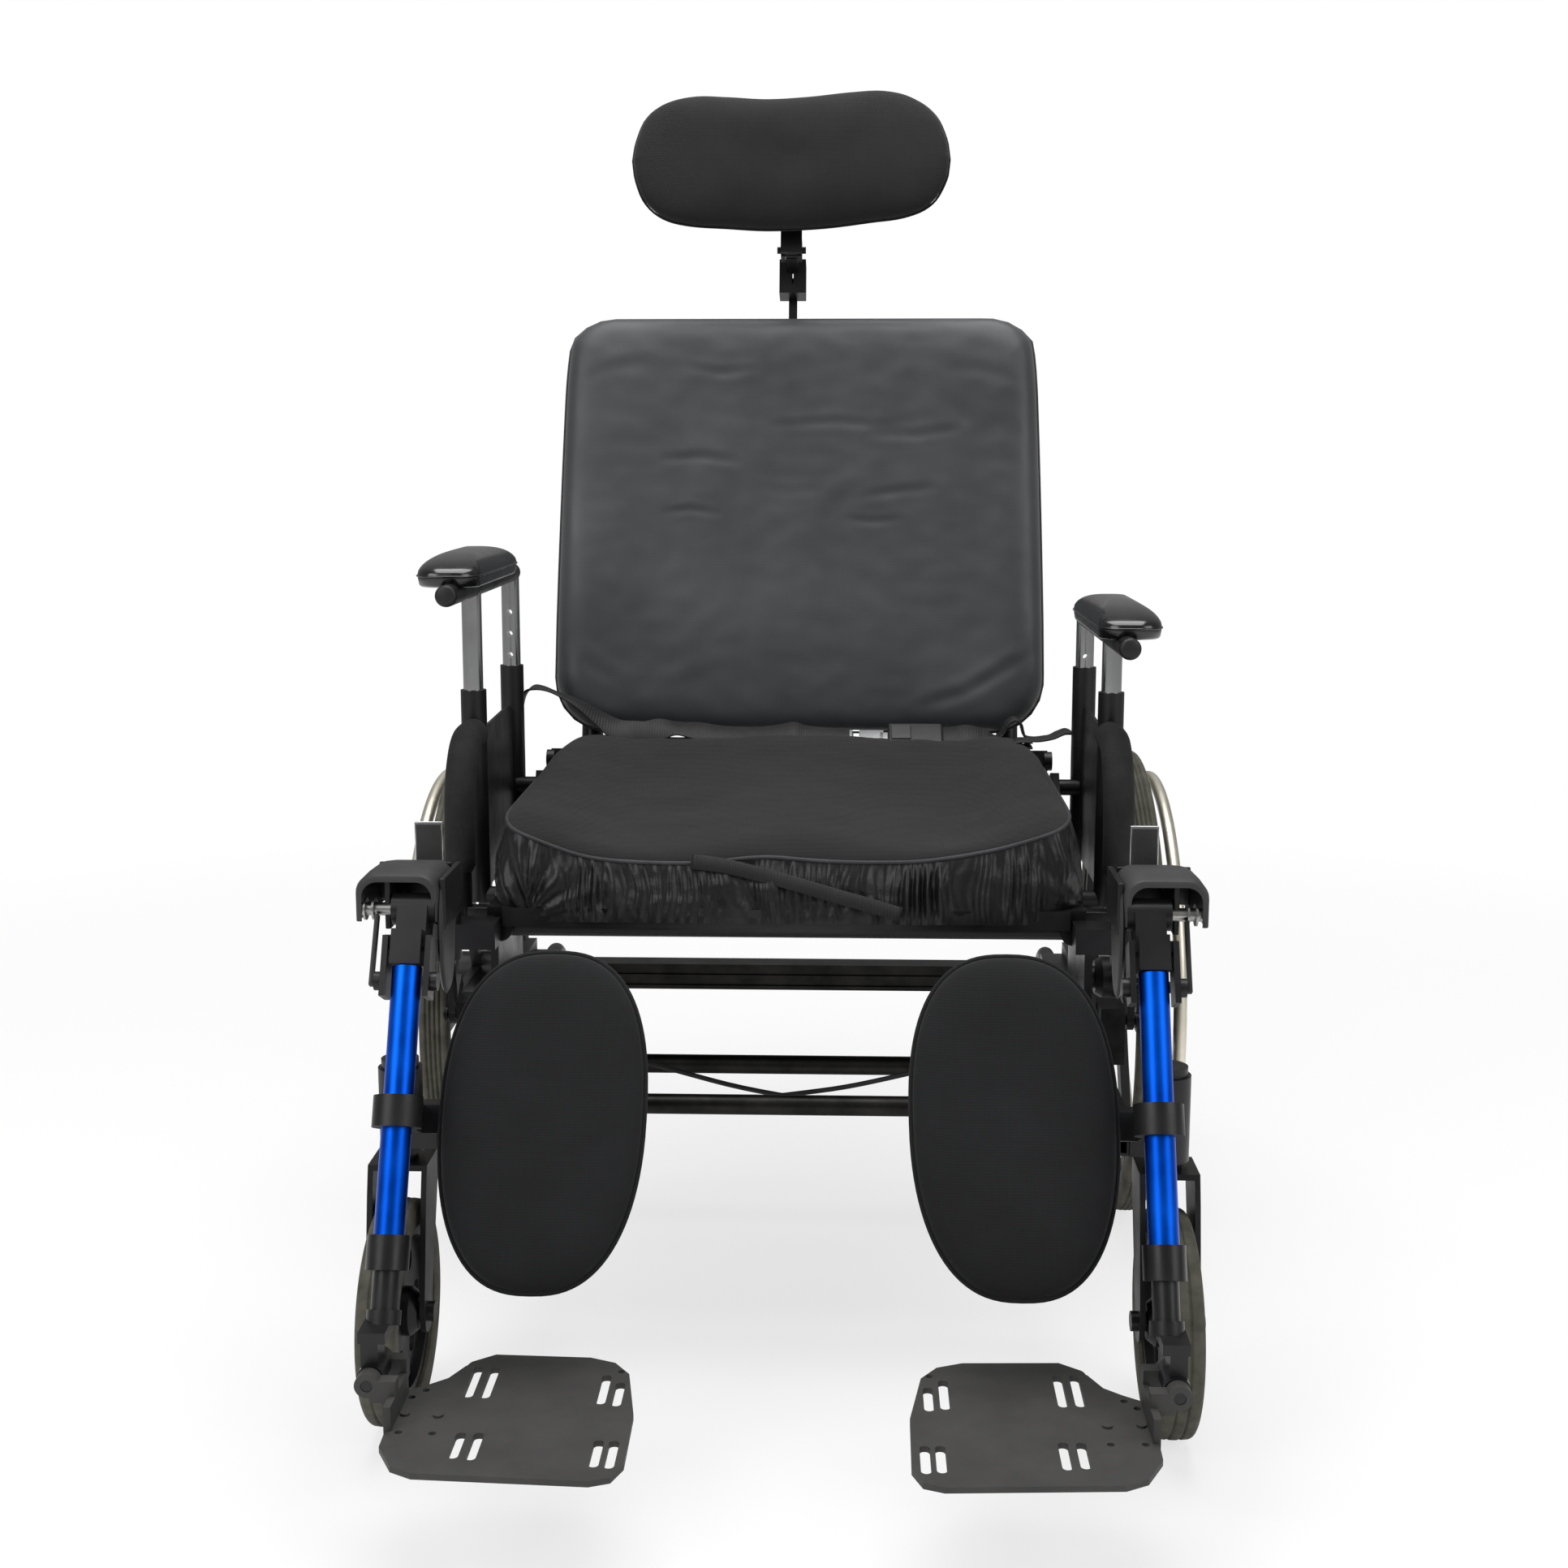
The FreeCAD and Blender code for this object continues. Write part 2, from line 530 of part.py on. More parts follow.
def rockers():
    made = []
    for _, side in SIDES:
        thick = size("RockerThick")
        outer = size("RockerRadius")
        inner = outer - size("RockerDeep")
        start = math.radians(size("RockerFront"))
        stop = math.radians(size("RockerRear"))
        half_way = (start + stop) / 2
        middle_y = size("TiltY")
        middle_z = size("TiltZ")
        x = side * size("RockerX") - thick / 2

        def spot(radius, angle):
            return V(x, middle_y + radius * math.sin(angle), middle_z - radius * math.cos(angle))

        wire = Part.Wire([
            Part.Arc(spot(outer, start), spot(outer, half_way), spot(outer, stop)).toShape(),
            Part.LineSegment(spot(outer, stop), spot(inner, stop)).toShape(),
            Part.Arc(spot(inner, stop), spot(inner, half_way), spot(inner, start)).toShape(),
            Part.LineSegment(spot(inner, start), spot(outer, start)).toShape()])
        bar = Part.Face(wire).extrude(V(thick, 0, 0))
        meet = math.acos((middle_z - size("SeatRailZ")) / (outer - size("RockerDeep") / 2))
        rail_face = size("SeatRailX") + size("FrameTube") + size("Gap") / 2
        inner_face = size("RockerX") - thick / 2
        for angle in (-meet, meet):
            centre = spot(outer - size("RockerDeep") / 2, angle)
            low = side * rail_face
            boss = Part.makeCylinder(9, inner_face - rail_face + 1, V(low, centre.y, centre.z), V(side, 0, 0))
            bar = bar.fuse(boss)
        made.append(bar.removeSplitter())
    node(shaped(Part.makeCompound(made)), "rockers")


def seat_pan():
    wide = "2 * SeatRailX + 22"
    top = f"(SeatRailZ + FrameTube + PanThick)"
    tray = block(wide, "SeatDepth + 5.4", "PanThick", "0", "(SeatDepth - 5.4) / 2", f"{top} - PanThick / 2")
    lip = block("2 * SeatRailX - 8", "6", "PanThick + 9", "0", "-8.2", f"{top} - (PanThick + 9) / 2")
    node(fuse(tray, lip), "seat_pan")


def cushion_section(y, half, foot, edge, trough, rise, pull):
    """A slice of the cushion: flat foot, drawn-in sides and a saddle of two troughs."""
    left_foot, right_foot = V(-half + 6, y, foot), V(half - 6, y, foot)
    left_edge, right_edge = V(-half + pull, y, edge), V(half - pull, y, edge)
    centre = V(0, y, rise)
    middle = (foot + edge) / 2
    return Part.Wire([
        Part.LineSegment(left_foot, right_foot).toShape(),
        Part.Arc(right_foot, V(half, y, middle), right_edge).toShape(),
        Part.Arc(right_edge, V(half * 0.52, y, trough), centre).toShape(),
        Part.Arc(centre, V(-half * 0.52, y, trough), left_edge).toShape(),
        Part.Arc(left_edge, V(-half, y, middle), left_foot).toShape()])


def seat_cushion():
    half = size("SeatWidth") / 2
    foot = size("SeatRailZ + FrameTube + PanThick + Gap")
    edge = foot + size("CushionEdge")
    trough = foot + size("CushionTrough")
    rise = foot + size("CushionRise")
    deep = size("SeatDepth")
    drop = size("CushionRearDrop")
    slices = [(2, half - 6, edge - 12, trough - 10, rise - 14, 14), (40, half, edge, trough, rise, 9),
              (deep * 0.3, half - 2, edge, trough + 4, rise + 8, 9), (deep * 0.6, half - 6, edge, trough + 12, rise + 12, 9),
              (deep - 60, half - 10, edge - drop / 2, trough + 20, rise + 14, 9),
              (deep - 14, half - 14, edge - drop, trough + 20, rise + 12, 10),
              (deep - 2, half - 22, edge - drop - 6, trough + 16, rise + 8, 14)]
    wires = [cushion_section(y, wide, foot, top, low, mid, pull) for y, wide, top, low, mid, pull in slices]
    node(shaped(Part.makeLoft(wires, True, True)), "seat_cushion")


def side_panels():
    made = []
    y0, y1 = "(PostFrontY + ReceiverRadius + Gap)", "(PostRearY - ReceiverRadius - Gap)"
    for _, side in SIDES:
        made.append(plate("YZ_Plane", [(y0, "PanelBottomZ"), (y1, "PanelBottomZ"), (y1, "PanelTopZ - 6"),
                                       (y1 + " - 20", "PanelTopZ"), (y0 + " + 30", "PanelTopZ - 4"),
                                       (y0, "PanelTopZ - 22")],
                          "PanelThick", f"{side} * ArmX"))
    node(fuse(*made), "side_panels")


def arm_receivers():
    made = []
    tall = "(ReceiverTopZ - ReceiverBottomZ)"
    middle = "(ReceiverTopZ + ReceiverBottomZ) / 2"
    rocker_face = "(RockerX + RockerThick / 2 + Gap / 2)"
    course = "(RockerRadius - RockerDeep / 2)"
    for _, side in SIDES:
        for y, inset in (("PostFrontY", "0"), ("PostRearY", "-7.6")):
            tube = rod("ReceiverRadius", tall, f"{side} * ArmX", y, middle)
            stud_y = f"({y} + {inset})"
            stud = rod("9", f"ArmX - 4 - {rocker_face}", f"{side} * (ArmX - 4 + {rocker_face}) / 2", stud_y,
                       f"TiltZ - sqrt({course} ^ 2 - ({stud_y} - TiltY) ^ 2)", "x")
            bore = rod("PostRadius + Slip", tall, f"{side} * ArmX", y, middle + " + 24")
            made.append(cut(fuse(tube, stud), bore))
    node(fuse(*made), "arm_receivers")


def transfer_grips():
    made = []
    for _, side in SIDES:
        x = side * size("GripX")
        front = size("PostFrontY")
        radius = size("GripRadius")
        start = front - size("ReceiverRadius + Gap")
        path = [V(x, start, 594), V(x, front - 62, 594), V(x, front - 96, 556), V(x, front - 104, 470)]
        tail = Part.makeCylinder(radius - 4, 50, V(x, front - 104, 424))
        foot = Part.makeBox(size("GripX") - 282.65, 16, 12)
        foot.translate(V(282.65 if side > 0 else -size("GripX"), front - 112, 424))
        made.append(pipe(path, 26, radius).fuse([tail, foot]))
    node(shaped(Part.makeCompound(made)), "transfer_grips")


WEBBING = 2.6
BELT_Y, BELT_WIDE = 388, 34
BELT_LEFT = [(-298, 598), (-286, 606), (-254, 594), (-224, 568), (-192, 548), (-166, 556), (-141, 568), (-112, 556),
             (-84, 549), (-30, 548), (58.5, 548)]
BELT_RIGHT = [(165.2, 548), (190, 553), (212, 547), (232, 552), (246, 564), (260, 552), (280, 552), (298, 556)]
BELT_LOOP = [(60, 541), (110, 537), (170, 541), (226, 545), (250, 553), (266, 553)]


def ribbon(points, y, wide):
    """A flat strap: a run of X and Z points given a thickness and pushed along Y."""
    places = [V(x, y, z) for x, z in points]
    upper, lower = [], []
    for index, place in enumerate(places):
        along = places[min(index + 1, len(places) - 1)] - places[max(index - 1, 0)]
        aside = V(-along.z, 0, along.x).normalize() * (WEBBING / 2)
        upper.append(place + aside)
        lower.append(place - aside)
    loop = upper + lower[::-1] + upper[:1]
    return Part.Face(Part.makePolygon(loop)).extrude(V(0, wide, 0))


def fall(side, top):
    """The strap's run behind the rear receiver, with a short bridge in to the lap run."""
    y = size("PostRearY + ReceiverRadius + Gap")
    down = Part.makeBox(WEBBING, 32, top - 454, V(side * 319 - WEBBING / 2, y, 454))
    inner, outer = sorted((side * 297, side * 320.3))
    bridge = Part.makeBox(outer - inner, BELT_Y + BELT_WIDE - y, WEBBING, V(inner, y, top - WEBBING))
    return down.fuse(bridge)


def belt():
    left = ribbon(BELT_LEFT, BELT_Y, BELT_WIDE)
    node(shaped(left.fuse(fall(-1, 599.5))), "belt_strap_left")
    right = ribbon(BELT_RIGHT, BELT_Y, BELT_WIDE)
    loop = ribbon(BELT_LOOP, BELT_Y - 36, 36.5)
    node(shaped(right.fuse([loop, fall(1, 557.3)])), "belt_strap_right")
    tongue = Part.makeBox(38, 26, 3, V(58.7, BELT_Y + 4, 547))
    buckle = Part.makeBox(62, 38, 13, V(103, BELT_Y - 2, 543))
    link = Part.makeBox(12, 16, 3, V(93, BELT_Y + 9, 547))
    node(shaped(tongue.fuse([buckle, link])), "belt_buckle")


# Armrests

def armrests():
    for name, side in SIDES:
        rise = "ArmRise" if side < 0 else "0"
        z = f"(ArmTubeZ + {rise})"
        x = f"{side} * ArmX"
        bar = rod("ArmTubeRadius", "PostRearY + 8 - ArmFrontY", x, "(PostRearY + 8 + ArmFrontY) / 2", z, "y")
        posts = []
        for y in ("PostFrontY", "PostRearY"):
            foot = f"(ReceiverBottomZ + 60 + {rise})"
            posts.append(rod("PostRadius", f"{z} - {foot}", x, y, f"({z} + {foot}) / 2"))
        holes = [rod("3.2", "30", x, "PostRearY", f"ReceiverTopZ + 12 + {step} * HolePitch", "y")
                 for step in range(1 if side > 0 else 3)]
        node(cut(fuse(bar, *posts), *holes), f"armrest_frame_{name}")

        foot = size(z) + size("ArmTubeRadius") + 0.2
        wide = size("PadWide") / 2
        thick = size("PadThick")
        middle = side * size("PadX")
        front = size("PadFrontY")
        rear = front + size("PadLong")

        def slice_at(y, half, top):
            low = [V(middle - half + 4, y, foot), V(middle + half - 4, y, foot)]
            band = [V(middle + half, y, foot + 6), V(middle + half, y, foot + 12)]
            mirror = [V(middle - half, y, foot + 12), V(middle - half, y, foot + 6)]
            crown = V(middle, y, foot + top)
            return Part.Wire([
                Part.LineSegment(low[0], low[1]).toShape(), Part.LineSegment(low[1], band[0]).toShape(),
                Part.LineSegment(band[0], band[1]).toShape(), Part.Arc(band[1], crown, mirror[0]).toShape(),
                Part.LineSegment(mirror[0], mirror[1]).toShape(), Part.LineSegment(mirror[1], low[0]).toShape()])

        ends = [(0, 12, 9), (6, 6, 4), (14, 3, 2), (26, 1, 0.6), (44, 0, 0), (80, 0, 0)]
        slices = [slice_at(front + reach, wide - inset, thick - sunk) for reach, inset, sunk in ends]
        slices.append(slice_at((front + rear) / 2, wide, thick))
        slices += [slice_at(rear - reach, wide - inset, thick - sunk) for reach, inset, sunk in reversed(ends)]
        node(shaped(Part.makeLoft(slices, True, True)), f"armrest_pad_{name}")


# Back, built upright with its foot at the cushion's lower front edge

def on_handle(shape, side):
    """Bring a shape drawn along +Y from the cane's upper corner to one push handle."""
    corner = V(side * size("CaneX"), size("CaneW"), size("CaneStraight") + 40)
    turn = FreeCAD.Rotation(V(1, 0, 0), size("BackLean"))
    shape.Placement = FreeCAD.Placement(corner, turn).multiply(shape.Placement)
    return shape


def trigger_clamp(side):
    """A collar on the handle with two ears and the trigger's pin."""
    collar = Part.makeCylinder(17, 16, V(0, 58, 0), V(0, 1, 0))
    ears = [Part.makeBox(4, 14, 34, V(low, 59, -36)) for low in (-9, 5)]
    bore = Part.makeCylinder(size("FrameTube"), 20, V(0, 56, 0), V(0, 1, 0))
    pin = Part.makeCylinder(size("TriggerPin"), 18, V(-9, 66, -30), V(1, 0, 0))
    return on_handle(collar.fuse(ears).cut(bore).fuse(pin), side)


def back_canes():
    made = []
    for _, side in SIDES:
        x = side * size("CaneX")
        w = size("CaneW")
        lean = math.radians(size("BackLean"))
        top = size("CaneStraight")
        level = V(0, math.cos(lean), math.sin(lean))
        corner = V(x, w, top + 40)
        tube = pipe([V(x, w, -size("PivotDrop") - 14), corner, corner + level * (size("HandleLong") + 60)],
                    size("HandleBend"), size("FrameTube"))
        pivot = Part.makeCylinder(size("RecliningPin + Slip"), 40, V(x - 20, w, -size("PivotDrop")), V(1, 0, 0))
        reach = size("KnobX - CaneX")
        strap = Part.makeBox(reach, 8, 24, V(min(x, x + side * reach), w - 22, -43))
        tie = Part.makeBox(12, 24, 24, V(x - 6, w - 22, -43))
        knob = Part.makeCylinder(size("KnobRadius"), 9, V(x + side * (reach - 4), w - 18, -31), V(side, 0, 0))
        made.append(tube.fuse([strap, tie, knob]).cut(pivot).fuse(trigger_clamp(side)))
    obj = shaped(Part.makeCompound(made))
    node(leaned(obj, "BackLean", "0", "BackY", "BackZ"), "back_canes", placed=True)


def back_slice(z, half, front, rear, crown, curl):
    """A slice of the back cushion: flat rear, and a front whose sides curl forward."""
    return Part.Wire([
        Part.LineSegment(V(half - 5, rear, z), V(-half + 5, rear, z)).toShape(),
        Part.Arc(V(-half + 5, rear, z), V(-half, (front + rear) / 2, z), V(-half + 9, front - curl, z)).toShape(),
        Part.Arc(V(-half + 9, front - curl, z), V(0, front + crown, z), V(half - 9, front - curl, z)).toShape(),
        Part.Arc(V(half - 9, front - curl, z), V(half, (front + rear) / 2, z), V(half - 5, rear, z)).toShape()])


def back_cushion():
    half = size("BackWidth") / 2
    thick = size("BackThick")
    tall = size("BackHeight")
    slices = [(0, half - 16, 12, 1, 0), (6, half - 8, 8, 2, 2), (16, half - 3, 5, 3, 3), (34, half, 4, 4, 5),
              (80, half, 3, 4, 6), (170, half - 1, 2, 5, 7), (tall / 2, half - 2, 2, 5, 7),
              (tall - 170, half - 4, 2, 5, 7), (tall - 100, half - 5, 3, 4, 6), (tall - 60, half - 7, 4, 4, 5),
              (tall - 30, half - 11, 6, 3, 3), (tall - 12, half - 20, 10, 2, 2), (tall, half - 36, 16, 1, 0)]
    wires = [back_slice(z, wide, front, thick, crown, curl) for z, wide, front, crown, curl in slices]
    obj = shaped(Part.makeLoft(wires, True, True))
    node(leaned(obj, "BackLean", "0", "BackY", "BackZ"), "back_cushion", placed=True)


def back_shell():
    w = "BackThick + Gap + ShellThick / 2"
    panel = plate("XZ_Plane", [("-BackWidth / 2 + 24", "40"), ("BackWidth / 2 - 24", "40"),
                               ("BackWidth / 2 - 16", "BackHeight - 110"), ("BackWidth / 2 - 70", "BackHeight - 26"),
                               ("-BackWidth / 2 + 70", "BackHeight - 26"),
                               ("-BackWidth / 2 + 16", "BackHeight - 110")], "ShellThick", "0", w, "0")
    obj = fuse(panel, block("120", "ShellThick", "60", "HeadX", w, "BackHeight - 60"))
    node(leaned(obj, "BackLean", "0", "BackY", "BackZ"), "back_shell", placed=True)


def headrest_bracket():
    """A channel on the shell in which the headrest's post slides."""
    side = "HeadPostSide"
    front = "(BackThick + Gap + ShellThick)"
    deep = f"(HeadPostW + {side} / 2 + 6 - {front})"
    body = block(f"{side} + 20", deep, "120", "HeadX", f"{front} + {deep} / 2", "BackHeight - 100")
    flange = block("90", "4", "120", "HeadX", f"{front} + 2", "BackHeight - 100")
    way = block(f"{side} + 2 * Slip", f"{side} + 2 * Slip", "140", "HeadX", "HeadPostW", "BackHeight - 100")
    knob = rod("9", "16", f"HeadX + {side} / 2 + 17", "HeadPostW", "BackHeight - 80", "x")
    obj = cut(fuse(body, flange, knob), way)
    node(leaned(obj, "BackLean", "0", "BackY", "BackZ"), "headrest_bracket", placed=True)


def push_grips():
    made = []
    lean = math.radians(size("BackLean"))
    level = V(0, math.cos(lean), math.sin(lean))
    for _, side in SIDES:
        corner = V(side * size("CaneX"), size("CaneW"), size("CaneStraight") + 40)
        start = corner + level * (size("HandleLong") + 66 - size("GripSleeveLong"))
        outer = Part.makeCylinder(size("GripSleeve"), size("GripSleeveLong"), start, level)
        bore = Part.makeCylinder(size("FrameTube + Slip"), size("GripSleeveLong") - 6 + size("Gap"), start, level)
        made.append(outer.cut(bore))
    obj = shaped(Part.makeCompound(made))
    node(leaned(obj, "BackLean", "0", "BackY", "BackZ"), "push_grips", placed=True)


def tilt_triggers():
    """A finger lever under each push handle, on the pin of the handle's clamp."""
    for name, side in SIDES:
        lever = Part.makeBox(8, 100, 7, V(-4, 66, -36))
        boss = Part.makeCylinder(7, 8, V(-4, 66, -30), V(1, 0, 0))
        bore = Part.makeCylinder(size("TriggerPin + Slip"), 12, V(-6, 66, -30), V(1, 0, 0))
        obj = shaped(Part.makeCompound([on_handle(lever.fuse(boss).cut(bore), side)]))
        node(leaned(obj, "BackLean", "0", "BackY", "BackZ"), f"tilt_trigger_{name}", placed=True)


# Headrest, in the back's own frame

def headrest():
    side = "HeadPostSide"
    bar = block(side, side, "HeadPostTop - HeadPostBottom", "HeadX", "HeadPostW",
                "(HeadPostTop + HeadPostBottom) / 2")
    clamp = block("32", "30", "42", "HeadX", "HeadPostW - 14", "HeadPostTop - 6")
    slit = block("2", "40", "34", "HeadX", "HeadPostW - 16", "HeadPostTop + 2")
    arm = block("14", "50", "16", "HeadX", "HeadPostW - 50", "HeadPostTop + 6")
    boss = rod("9", "14", "HeadX", "HeadPostW - 76", "HeadPostTop + 8", "x")
    pin = rod("4", "34", "HeadX", "HeadPostW - 76", "HeadPostTop + 8", "x")
    obj = fuse(bar, cut(clamp, slit), arm, boss, pin)
    node(leaned(obj, "BackLean", "0", "BackY", "BackZ"), "headrest_post", placed=True)

    y, z = "(HeadPostW - 76)", "(HeadPostTop + 8)"
    ears = [block("5", "20", "22", f"HeadX + {way} * 10", y, z) for way in (-1, 1)]
    yoke = block("25", "8", "70", "HeadX", f"{y} - 14", f"{z} + 26")
    pad_rear = "(HeadW + HeadThick / 2)"
    stub = block("25", f"{y} - 12 - {pad_rear}", "30", "HeadX", f"({y} - 12 + {pad_rear}) / 2 + Gap / 2", f"{z} + 44")
    bore = rod("4 + Slip", "40", "HeadX", y, z, "x")
    obj = cut(fuse(*ears, yoke, stub), bore)
    node(leaned(obj, "BackLean", "0", "BackY", "BackZ"), "headrest_link", placed=True)

    half = size("HeadWidth") / 2
    tall = size("HeadTall") / 2
    middle = V(size("HeadX"), 0, size("HeadU"))

    def slice_at(w, shrink, bow):
        """A bean outline: two upper lobes with a dip between, and a bowed underside."""
        wide, high = half - shrink, tall - shrink

        def spot(a, b):
            return middle + V(a * wide, w, b * high)

        wire = Part.Wire([
            Part.Arc(spot(-0.62, -0.86), spot(-1, -0.1), spot(-0.62, 0.9)).toShape(),
            Part.Arc(spot(-0.62, 0.9), spot(-0.3, 0.97), spot(0, 0.84)).toShape(),
            Part.Arc(spot(0, 0.84), spot(0.3, 0.97), spot(0.62, 0.9)).toShape(),
            Part.Arc(spot(0.62, 0.9), spot(1, -0.1), spot(0.62, -0.86)).toShape(),
            Part.Arc(spot(0.62, -0.86), spot(0, -1), spot(-0.62, -0.86)).toShape()])
        wire.translate(V(0, bow, 0))
        return wire

    w = size("HeadW")
    thick = size("HeadThick") / 2
    slices = [slice_at(w - thick, 18, 0), slice_at(w - thick + 9, 5, 0), slice_at(w, 0, 0),
              slice_at(w + thick - 9, 5, 0), slice_at(w + thick - 0.2, 18, 0)]
    obj = shaped(Part.makeLoft(slices, True, False))
    node(leaned(obj, "BackLean", "0", "BackY", "BackZ"), "headrest_pad", placed=True)


# Legrests

def knee_hangers():
    for name, side in SIDES:
        x = f"{side} * KneeX"
        long = "(-10 - KneeFrontY)"
        middle = "(KneeFrontY - 10) / 2"
        tall = 62
        z = f"KneeTopZ - {tall} / 2"
        shell = cut(block("KneeWide", long, tall, x, middle, z),
                    block("KneeWide - 8", long + " + 20", tall, x, middle + " - 14", z + " - 5"))
        cheek = plate("YZ_Plane", [("KneeFrontY", "KneeTopZ - 50"), ("KneeFrontY + 70", "KneeTopZ - 50"),
                                   ("KneeFrontY + 58", "KneeTopZ - 90"), ("KneeFrontY + 28", "KneeTopZ - 112"),
                                   ("KneeFrontY + 6", "KneeTopZ - 104"), ("KneeFrontY - 4", "KneeTopZ - 78")],
                      "4", f"{side} * (KneeX - KneeWide / 2 + 2)")
        axle = rod("SwingPin", "KneeTopZ - 4 - (SeatRailZ - 26) + 2", f"{side} * SwingX", "SwingY",
                   "(KneeTopZ - 4 + SeatRailZ - 26 + 2) / 2")
        collar = rod("SwingPin + 8", "KneeTopZ - 4 - (SeatRailZ + 22 + Gap) + 2", f"{side} * SwingX", "SwingY",
                     "(KneeTopZ - 4 + SeatRailZ + 22 + Gap + 2) / 2")
        pin = rod("KneePin", "KneeWide - 4", x, "KneePinY", "KneePinZ", "x")
        cheeks = [block("5", "74", "46", f"{side} * (LegX + {way} * 24)", "KneePinY + 34", "KneeTopZ - 4 - 23 + 0.5")
                  for way in (-1, 1)]
        node(fuse(shell, cheek, axle, collar, pin, *cheeks), f"knee_hanger_{name}")


# The leg's own frame has its top at the tube's upper end, -Z down the tube and +Y behind it

KNEE_S = "((KneePinY - LegTopY) * sin(LegLean) + (KneePinZ - LegTopZ) * cos(LegLean))"
KNEE_N = "((KneePinY - LegTopY) * cos(LegLean) - (KneePinZ - LegTopZ) * sin(LegLean))"


def legs():
    for name, side in SIDES:
        place = ("LegLean", f"{side} * LegX", "LegTopY", "LegTopZ")

        boss = rod("14", "38", "0", KNEE_N, KNEE_S, "x")
        neck = block("26", f"{KNEE_N} + 14", "30", "0", f"({KNEE_N} - 14) / 2", "-2")
        neck_top = block("26", "30", f"{KNEE_S} + 16", "0", KNEE_N, f"{KNEE_S} / 2 - 8")
        ears = [block("5", "24", "52", f"{way} * 18.5", "2", "-18") for way in (-1, 1)]
        heads = [rod("8", "9", f"{way} * 22.5", "0", "-30", "x") for way in (-1, 1)]
        bridge = block("40", "24", "10", "0", "6", "4")
        bore = rod("KneePin + Slip", "60", "0", KNEE_N, KNEE_S, "x")
        socket = rod("LegTube + Slip", "80", "0", "0", "-58")
        obj = cut(fuse(boss, neck, neck_top, bridge, *ears, *heads), bore, socket)
        node(leaned(obj, *place), f"knee_link_{name}", placed=True)

        tube = rod("LegTube", "LegLong", "0", "0", "-18 - LegLong / 2")
        collar = rod("LegTube + 5", "28", "0", "0", "-LegLong - 22")
        bore = rod("ExtensionRadius + Slip", "LegLong + 60", "0", "0", "-90 - LegLong / 2 - 30")
        obj = cut(fuse(tube, collar), bore)
        node(leaned(obj, *place), f"leg_tube_{name}", placed=True)

        ring = rod("LegTube + 8", "26", "0", "0", "-CalfAt")
        neck = block("20", "CalfBehind + CalfThick / 2 + 6 - 10", "24", "0",
                     "(CalfBehind + CalfThick / 2 + 6 + 10) / 2", "-CalfAt")
        deep = "(CalfBehind + CalfThick / 2 + Gap)"
        arm = block("CalfInset + 10", "5", "24", f"{-side} * (CalfInset - 10) / 2", f"{deep} + 2.5", "-CalfAt")
        bore = rod("LegTube + Slip", "40", "0", "0", "-CalfAt")
        obj = cut(fuse(ring, neck, arm), bore)
        node(leaned(obj, *place), f"calf_arm_{name}", placed=True)

        half = size("CalfWide") / 2
        tall = size("CalfTall") / 2
        middle = V(-side * size("CalfInset"), size("CalfBehind"), -size("CalfAt") + 4)

        def slice_at(n, shrink):
            """An egg, wider above than below."""
            wide, high = half - shrink, tall - shrink

            def spot(a, b):
                return middle + V(a * wide, n, b * high)

            return Part.Wire([
                Part.Arc(spot(-0.98, 0.3), spot(-0.72, 0.84), spot(0, 1)).toShape(),
                Part.Arc(spot(0, 1), spot(0.72, 0.84), spot(0.98, 0.3)).toShape(),
                Part.Arc(spot(0.98, 0.3), spot(0.9, -0.36), spot(0.52, -0.86)).toShape(),
                Part.Arc(spot(0.52, -0.86), spot(0, -1), spot(-0.52, -0.86)).toShape(),
                Part.Arc(spot(-0.52, -0.86), spot(-0.9, -0.36), spot(-0.98, 0.3)).toShape()])

        thick = size("CalfThick") / 2
        slices = [slice_at(-thick, 16), slice_at(-thick + 8, 4), slice_at(0, 0), slice_at(thick - 8, 4),
                  slice_at(thick, 14)]
        obj = shaped(Part.makeLoft(slices, True, False))
        node(leaned(obj, *place), f"calf_pad_{name}", placed=True)

        drop = "((LegTopZ - FlipZ) / cos(LegLean))"
        inner = rod("ExtensionRadius", f"{drop} - 34 - 125", "0", "0", f"-({drop} - 34 + 125) / 2")
        ferrule = rod("ExtensionRadius + 3", "12", "0", "0", f"-{drop} + 40")
        tube = leaned(fuse(inner, ferrule), *place)
        x, y = f"{side} * FlipX", "FlipY - DatumY"
        knuckle = rod("11", "26", x, y, "FlipZ", "y")
        pin = rod("FlipPin", "50", x, y, "FlipZ", "y")
        web = block("14", "23", "37", f"{side} * (FlipX + 1)", y + " + 1.5", "FlipZ + 18.5")
        shelf = block("22", "41", "9", f"{side} * (FlipX - 1)", y + " + 10.5", "FlipZ + 32.5")
        node(fuse(tube, knuckle, pin, web, shelf), f"foot_extension_{name}", placed=True)


